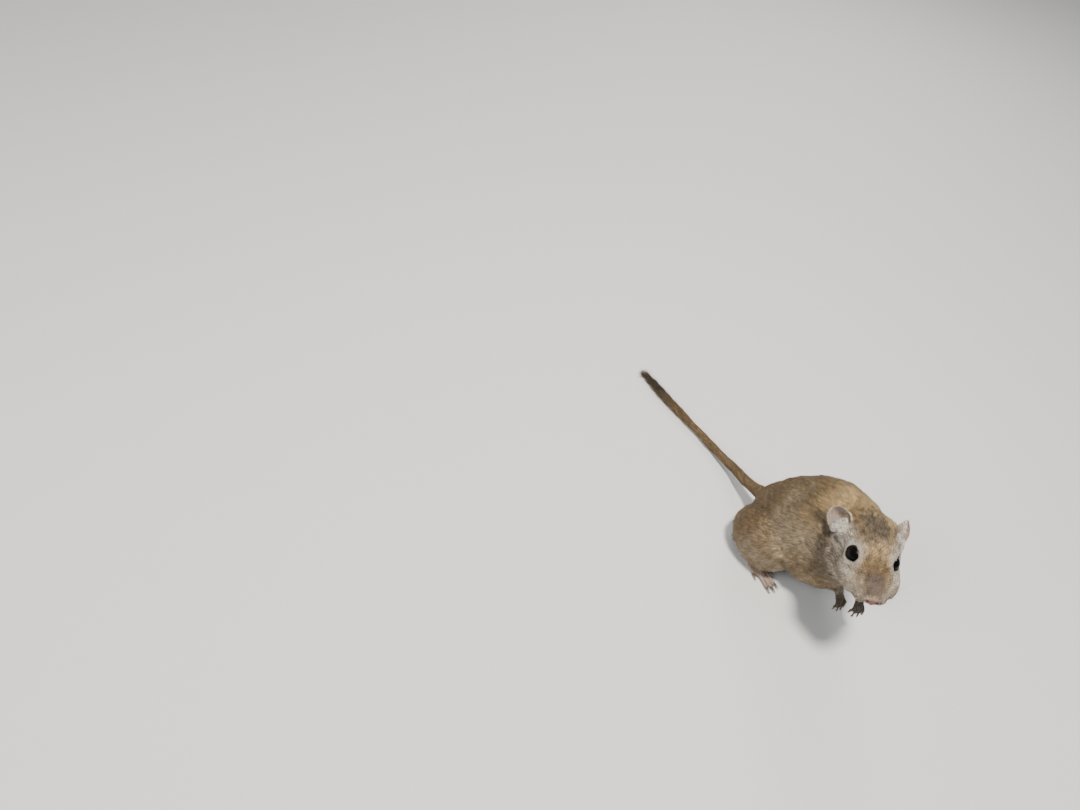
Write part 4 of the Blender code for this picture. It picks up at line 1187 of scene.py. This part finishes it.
def hair_mesh(name, rows, bent):
    """Closed tapered hairs as one mesh: three sides from a root triangle, by a middle one if bent."""
    count = len(rows["root"])
    root, normal, lie = rows["root"], rows["normal"], rows["lie"]
    size, width = rows["length"][:, None] * MM, rows["width"][:, None] * MM
    lift, droop = rows["lift"], rows["lift"] * 0.45
    beside = np.cross(normal, lie)
    start = lie * np.cos(lift)[:, None] + normal * np.sin(lift)[:, None]
    end = lie * np.cos(droop)[:, None] + normal * np.sin(droop)[:, None]
    roof = unit(np.cross(start, beside))
    roof = roof * np.sign((roof * normal).sum(axis=1))[:, None]
    base = root - normal * 0.12 * MM
    stations = [base]
    if bent:
        middle_place = base + start * size * 0.5
        stations.append(middle_place)
        tip = middle_place + end * size * 0.5
    else:
        tip = base + start * size
    points = []
    for k, place in enumerate(stations):
        w = width * (1.0 if k == 0 else 0.72)
        points += [place - beside * w / 2, place + beside * w / 2, place + roof * w * 0.42]
    points.append(tip)
    per = len(points)
    ring = 3 * (len(stations) - 1)
    pattern = [(0, 1, 2)]
    if bent:
        for a, b in ((0, 1), (1, 2), (2, 0)):
            pattern += [(a, a + 3, b + 3), (a, b + 3, b)]
    for a, b in ((0, 1), (1, 2), (2, 0)):
        pattern.append((ring + a, per - 1, ring + b))
    pattern = np.array(pattern)
    mesh = bpy.data.meshes.new(name)
    mesh.vertices.add(count * per)
    places = np.stack(points, axis=1)
    places[:, :, 2] = np.maximum(places[:, :, 2], 0.01 * MM)
    mesh.vertices.foreach_set("co", places.astype(np.float32).ravel())
    faces = (np.arange(count)[:, None, None] * per + pattern[None]).reshape(-1, 3)
    fill_faces(mesh, faces)

    levels = [0.0] * 3 + ([0.5] * 3 if bent else []) + [1.0]
    across = [-0.5, 0.5, 0.0] * len(stations) + [0.0]
    heights = [0.0, 0.0, 0.25] + ([0.5, 0.5, 0.7] if bent else []) + [1.0]
    patch = np.stack((np.array(across), np.array(heights) - 0.5), axis=1) * 0.003
    flat = rows["flat"][:, None, :] + patch[None]
    uv = mesh.uv_layers.new(name="OFBake")
    uv.data.foreach_set("uv", flat.reshape(-1, 2)[faces.ravel()].astype(np.float32).ravel())

    def store(attribute, kind, field, values):
        made = mesh.attributes.new(attribute, kind, "POINT")
        made.data.foreach_set(field, np.ascontiguousarray(values, np.float32).ravel())

    store("along", "FLOAT", "value", np.tile(levels, count))
    store("ticking", "FLOAT", "value", np.repeat(rows["ticking"], per))
    tint = np.hstack((rows["colour"], np.ones((count, 1))))
    store("colour_with_light_and_shade", "FLOAT_COLOR", "color", np.repeat(tint, per, axis=0))
    mesh.shade_smooth()
    return linked(name, mesh)


def grow(plan, skin, name, regions, bent, finish, seed):
    """Grow the coat of some regions in pieces, each a fair draw over all of them."""
    draw = np.random.default_rng(seed)
    mesh = skin.data
    mesh.calc_loop_triangles()
    triangles = np.zeros(len(mesh.loop_triangles) * 3, np.int32)
    mesh.loop_triangles.foreach_get("vertices", triangles)
    triangles = triangles.reshape(-1, 3)
    main = np.argmax(plan["held"], axis=1)[triangles[:, 0]]
    triangles = triangles[np.isin(main, [REGIONS.index(r) for r in regions])]
    corners = plan["points"][triangles]
    area = np.linalg.norm(np.cross(corners[:, 1] - corners[:, 0], corners[:, 2] - corners[:, 0]), axis=1) / 2
    weight = area / MM ** 2 * plan["number"][triangles].mean(axis=1)
    count = int(weight.sum())
    flat = unwrapped(skin, triangles)
    chosen = draw.choice(len(triangles), count, p=weight / weight.sum())
    a, b = draw.random(count), draw.random(count)
    over = a + b > 1.0
    a[over], b[over] = 1.0 - a[over], 1.0 - b[over]
    share = np.stack((1.0 - a - b, a, b), axis=1)[:, :, None]

    def at_root(values):
        values = values if values.ndim > 1 else values[:, None]
        return (values[triangles[chosen]] * share).sum(axis=1)

    root = at_root(plan["points"])
    normal = unit(at_root(plan["normals"]))
    lie = unit(at_root(plan["lie"]))
    beside = np.cross(normal, lie)
    body = of_body(root)
    swing = np.radians(11.0 * mottle(body, 3.0, seed + 1) + 10.0 * mottle(body, 1.0, seed + 3)
                       + draw.normal(0.0, 6.0, count))
    lie = lie * np.cos(swing)[:, None] + beside * np.sin(swing)[:, None]
    clump = mottle(body, 0.75, seed + 4) + 0.6 * mottle(body, 1.9, seed + 5)
    region = at_root(plan["held"])
    clump *= 1.0 - 0.6 * region[:, REGIONS.index("tail")] + 0.5 * region[:, REGIONS.index("head")]
    colour = at_root(plan["colour"]) * (1.0 + 0.32 * clump + draw.uniform(-0.45, 0.45, count))[:, None]
    tips = at_root(plan["tips"])[:, 0] * (1.0 - 0.5 * clump)
    ticked = (draw.random(count) < 0.15 + 0.55 * tips) * (0.35 + 0.75 * tips) * draw.uniform(0.6, 1.2, count)
    lift = at_root(plan["lift"])[:, 0] + 4.0 * mottle(body, 1.6, seed + 2) + draw.normal(0.0, 3.0, count)
    rows = {
        "root": root, "normal": normal, "lie": lie, "colour": np.clip(colour, 0, 1),
        "length": at_root(plan["length"])[:, 0] * draw.uniform(0.75, 1.2, count),
        "width": at_root(plan["width"])[:, 0] * draw.uniform(0.8, 1.2, count),
        "lift": np.radians(np.clip(lift, 3.0, 62.0)), "ticking": np.clip(ticked, 0.0, 0.95),
        "flat": (flat[chosen] * share).sum(axis=1),
    }
    per = 10 if bent else 4
    parts = max(1, math.ceil(count * per / COAT_PIECE_LIMIT))
    order = draw.permutation(count)
    for k in range(parts):
        part = {key: values[order[k::parts]] for key, values in rows.items()}
        piece = hair_mesh(f"{name}_{k + 1}" if parts > 1 else name, part, bent)
        piece.data.materials.append(finish)
        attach(piece, "root")
    print(name, count, "tufts in", parts, "pieces,", count * per, "triangles")


# Operators

class GERBIL_OT_skin(bpy.types.Operator):
    """Fuse the solids of flesh into one skin, with its ears, lids, mouth and nostrils"""
    bl_idname = "gerbil.skin"
    bl_label = "Skin"

    def execute(self, context):
        skin = shrink_to_skin(fused_flesh())
        for side in SIDES:
            combined(skin, ear_shell(side), "UNION")
        combined(skin, ear_lobe("right"), "UNION")
        soften_near(skin, [EAR_AT[side] for side in SIDES], 4.0, 6)
        PLAN["lids"] = np.array([tuple(in_head(p)) for side in SIDES for p in lid_path(side, 40)[0]])
        for side in SIDES:
            combined(skin, lid_rim(side), "UNION")
            centre = in_head(mirrored(EYE_AT, side))
            combined(skin, ball("socket", centre, form().eye_radius + 0.02 * MM), "DIFFERENCE")
        face_grooves(skin)
        bm = bmesh.new()
        bm.from_mesh(skin.data)
        bmesh.ops.triangulate(bm, faces=bm.faces)
        bm.to_mesh(skin.data)
        bm.free()
        skin.data.shade_smooth()
        PLAN.update(grow_plan(skin))
        skin.data.materials.clear()
        skin.data.materials.append(skin_finish())
        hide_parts(*FLESH, *EARS)
        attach(skin, "root")
        print("skin", len(skin.data.polygons))
        return {"FINISHED"}


class GERBIL_OT_eyes(bpy.types.Operator):
    """Set a smooth wet ball in each socket"""
    bl_idname = "gerbil.eyes"
    bl_label = "Eyes"

    def execute(self, context):
        finish = eye_finish()
        for side in SIDES:
            eye = ball("eyeball_" + side, in_head(mirrored(EYE_AT, side)), form().eye_radius)
            eye.data.materials.append(finish)
            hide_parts("eye_" + side)
            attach(eye, "root")
        return {"FINISHED"}


class GERBIL_OT_coat(bpy.types.Operator):
    """Grow the coat of the body, the head, the tail, the feet and the ears"""
    bl_idname = "gerbil.coat"
    bl_label = "Coat"

    def execute(self, context):
        skin = bpy.data.objects["skin"]
        hair = coat_finish()
        grow(PLAN, skin, "coat_body", ("torso", "thigh", "foreleg"), False, hair, 11)
        grow(PLAN, skin, "coat_neck", ("neck",), False, hair, 21)
        grow(PLAN, skin, "coat_face", ("head",), False, hair, 31)
        grow(PLAN, skin, "coat_tail", ("tail",), True, hair, 41)
        grow(PLAN, skin, "coat_feet", ("hind_foot", "forepaw"), False, hair, 51)
        grow(PLAN, skin, "coat_ears", ("ear",), False, hair, 61)
        return {"FINISHED"}


class GERBIL_OT_claws(bpy.types.Operator):
    """Set a curved claw on every toe and digit"""
    bl_idname = "gerbil.claws"
    bl_label = "Claws"

    def execute(self, context):
        finish = horn_finish()
        for side in SIDES:
            feet = (("hind", foot_frame(side), HIND_TOES), ("fore", paw_frame(side), PAW_DIGITS))
            for kind, place, digits in feet:
                reach, height, hook, radius = CLAWS[kind]
                hooks = []
                for y, angle, share, start in digits:
                    aim = Vector((math.cos(math.radians(angle)), math.sin(math.radians(angle)), 0))
                    tip = Vector((start, y, height)) + aim * reach * share
                    hooks.append([place @ (tip + aim * out + Vector((0, 0, rise))) for out, rise in hook])
                self.claws(f"claws_{kind}_{side}", hooks, radius, finish)
        return {"FINISHED"}

    def claws(self, name, hooks, radius, finish):
        """One piece of claws, each a bar that tapers along its hook."""
        bm = bmesh.new()
        layer = bm.verts.layers.float.new("along")
        for hook in hooks:
            line = [in_body(p) for p in smooth_path(hook, 5)]
            before = set(bm.verts)
            sizes = [radius * MM * max(0.06, 1.0 - (k / (len(line) - 1)) ** 1.6) for k in range(len(line))]
            sweep(bm, line, sizes, 10)
            for vert in set(bm.verts) - before:
                vert[layer] = (vert.co - line[0]).length / (line[-1] - line[0]).length
        piece = from_bmesh(name, bm)
        piece.data.materials.append(finish)
        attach(piece, "root")


class GERBIL_OT_whiskers(bpy.types.Operator):
    """Grow rows of whiskers from the pads beside the nose"""
    bl_idname = "gerbil.whiskers"
    bl_label = "Whiskers"

    def execute(self, context):
        f = form()
        skin = bpy.data.objects["skin"]
        tree = BVHTree.FromObject(skin, bpy.context.evaluated_depsgraph_get())
        turn = head_frame().to_3x3()
        draw = np.random.default_rng(71)
        finish = whisker_finish()
        for side in SIDES:
            sign = 1 if side == "left" else -1
            bm = bmesh.new()
            layer = bm.verts.layers.float.new("along")
            for row in range(WHISKER_ROWS):
                for k in range(WHISKERS_IN_ROW):
                    x, z = (WHISKER_FROM[i] + WHISKER_STEP[i] * k + WHISKER_ROW_STEP[i] * row for i in (0, 1))
                    start = in_head((x, 16.0 * sign, z))
                    hit = tree.ray_cast(start, turn @ Vector((0, -sign, 0)))[0]
                    if hit is None:
                        raise RuntimeError("a whisker found no skin to grow from")
                    reach = f.whisker * (0.5 + 0.5 * k / 4) * draw.uniform(0.85, 1.0)
                    out = Vector((0.05 - 0.2 * k + draw.normal(0, 0.05), sign * 0.75,
                                  0.10 - 0.27 * row + draw.normal(0, 0.05))).normalized()
                    sag = Vector((-0.45, 0.0, -0.45)) * reach
                    line = []
                    for t in (0.0, 0.25, 0.5, 0.75, 1.0):
                        line.append(hit + turn @ (out * reach * t + sag * 0.5 * t * t))
                    line[0] = hit - turn @ out * 0.3 * MM
                    path = smooth_path([p / MM for p in line], 3)
                    path = [p * MM for p in path]
                    last = len(path) - 1
                    sizes = [f.whisker_thickness / 2 * (1.0 - 0.82 * i / last) for i in range(last + 1)]
                    before = set(bm.verts)
                    sweep(bm, path, sizes, 5)
                    for vert in set(bm.verts) - before:
                        vert[layer] = (vert.co - path[0]).length / reach
            piece = from_bmesh("whiskers_" + side, bm)
            piece.data.materials.append(finish)
            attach(piece, "root")
        return {"FINISHED"}


class GERBIL_OT_stage(bpy.types.Operator):
    """Lay the floor, hang the lights and set the camera"""
    bl_idname = "gerbil.stage"
    bl_label = "Stage"

    def execute(self, context):
        scene = bpy.context.scene
        bm = bmesh.new()
        bmesh.ops.create_grid(bm, x_segments=8, y_segments=8, size=FLOOR_SIZE)
        floor = from_bmesh("floor", bm, smooth=False)
        floor.data.materials.append(floor_finish())
        world = bpy.data.worlds.new("studio")
        world.use_nodes = True
        sky = world.node_tree.nodes["Background"]
        sky.inputs["Color"].default_value = SKY_COLOUR
        sky.inputs["Strength"].default_value = SKY_STRENGTH
        scene.world = world
        for name, lamp in LAMPS.items():
            self.light(name, in_body(LAMPS_AIM), *lamp).visible_glossy = name == "key"

        camera = bpy.data.cameras.new("camera")
        camera.lens = LENS
        camera.sensor_width = SENSOR
        camera.clip_start = 0.01
        view = bpy.data.objects.new("camera", camera)
        scene.collection.objects.link(view)
        right = PICTURE_RIGHT.normalized()
        down = (PICTURE_DOWN - right * PICTURE_DOWN.dot(right)).normalized()
        ahead = right.cross(down)
        axes = Matrix((right, -down, -ahead)).transposed()
        view.matrix_world = Matrix.Translation(in_body(CAMERA_AT)) @ axes.to_4x4()
        scene.camera = view
        return {"FINISHED"}

    def light(self, name, aim, offset, size, power, colour):
        """Round lamp that looks at the gerbil."""
        lamp = bpy.data.lights.new(name, "AREA")
        lamp.shape = "DISK"
        lamp.size = size
        lamp.energy = power
        lamp.color = colour
        piece = bpy.data.objects.new(name, lamp)
        bpy.context.scene.collection.objects.link(piece)
        place = aim + Vector(offset)
        turn = (aim - place).to_track_quat("-Z", "Y").to_matrix().to_4x4()
        piece.matrix_world = Matrix.Translation(place) @ turn
        return piece


class GERBIL_PT_panel(bpy.types.Panel):
    """Gerbil"""
    bl_label = "Gerbil"
    bl_idname = "GERBIL_PT_panel"
    bl_space_type = "VIEW_3D"
    bl_region_type = "UI"
    bl_category = "Gerbil"

    def draw(self, context):
        for group in (context.scene.gerbil_form, context.scene.gerbil_colours):
            for name in group.__annotations__:
                self.layout.prop(group, name)
        for operator in OPERATORS:
            self.layout.operator(operator.bl_idname)


OPERATORS = (GERBIL_OT_skin, GERBIL_OT_eyes, GERBIL_OT_coat, GERBIL_OT_claws, GERBIL_OT_whiskers,
             GERBIL_OT_stage)
CLASSES = (GerbilForm, GerbilColours, *OPERATORS, GERBIL_PT_panel)


def register():
    """Add the settings, the operators and the panel."""
    for item in CLASSES:
        bpy.utils.register_class(item)
    bpy.types.Scene.gerbil_form = PointerProperty(type=GerbilForm)
    bpy.types.Scene.gerbil_colours = PointerProperty(type=GerbilColours)


def unregister():
    """Take away what register added."""
    del bpy.types.Scene.gerbil_form
    del bpy.types.Scene.gerbil_colours
    for item in reversed(CLASSES):
        bpy.utils.unregister_class(item)


def main():
    """Build the whole model and note its size."""
    register()
    bpy.ops.gerbil.skin()
    bpy.ops.gerbil.eyes()
    bpy.ops.gerbil.coat()
    bpy.ops.gerbil.claws()
    bpy.ops.gerbil.whiskers()
    bpy.ops.gerbil.stage()
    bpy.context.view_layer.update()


if __name__ == "__main__":
    main()
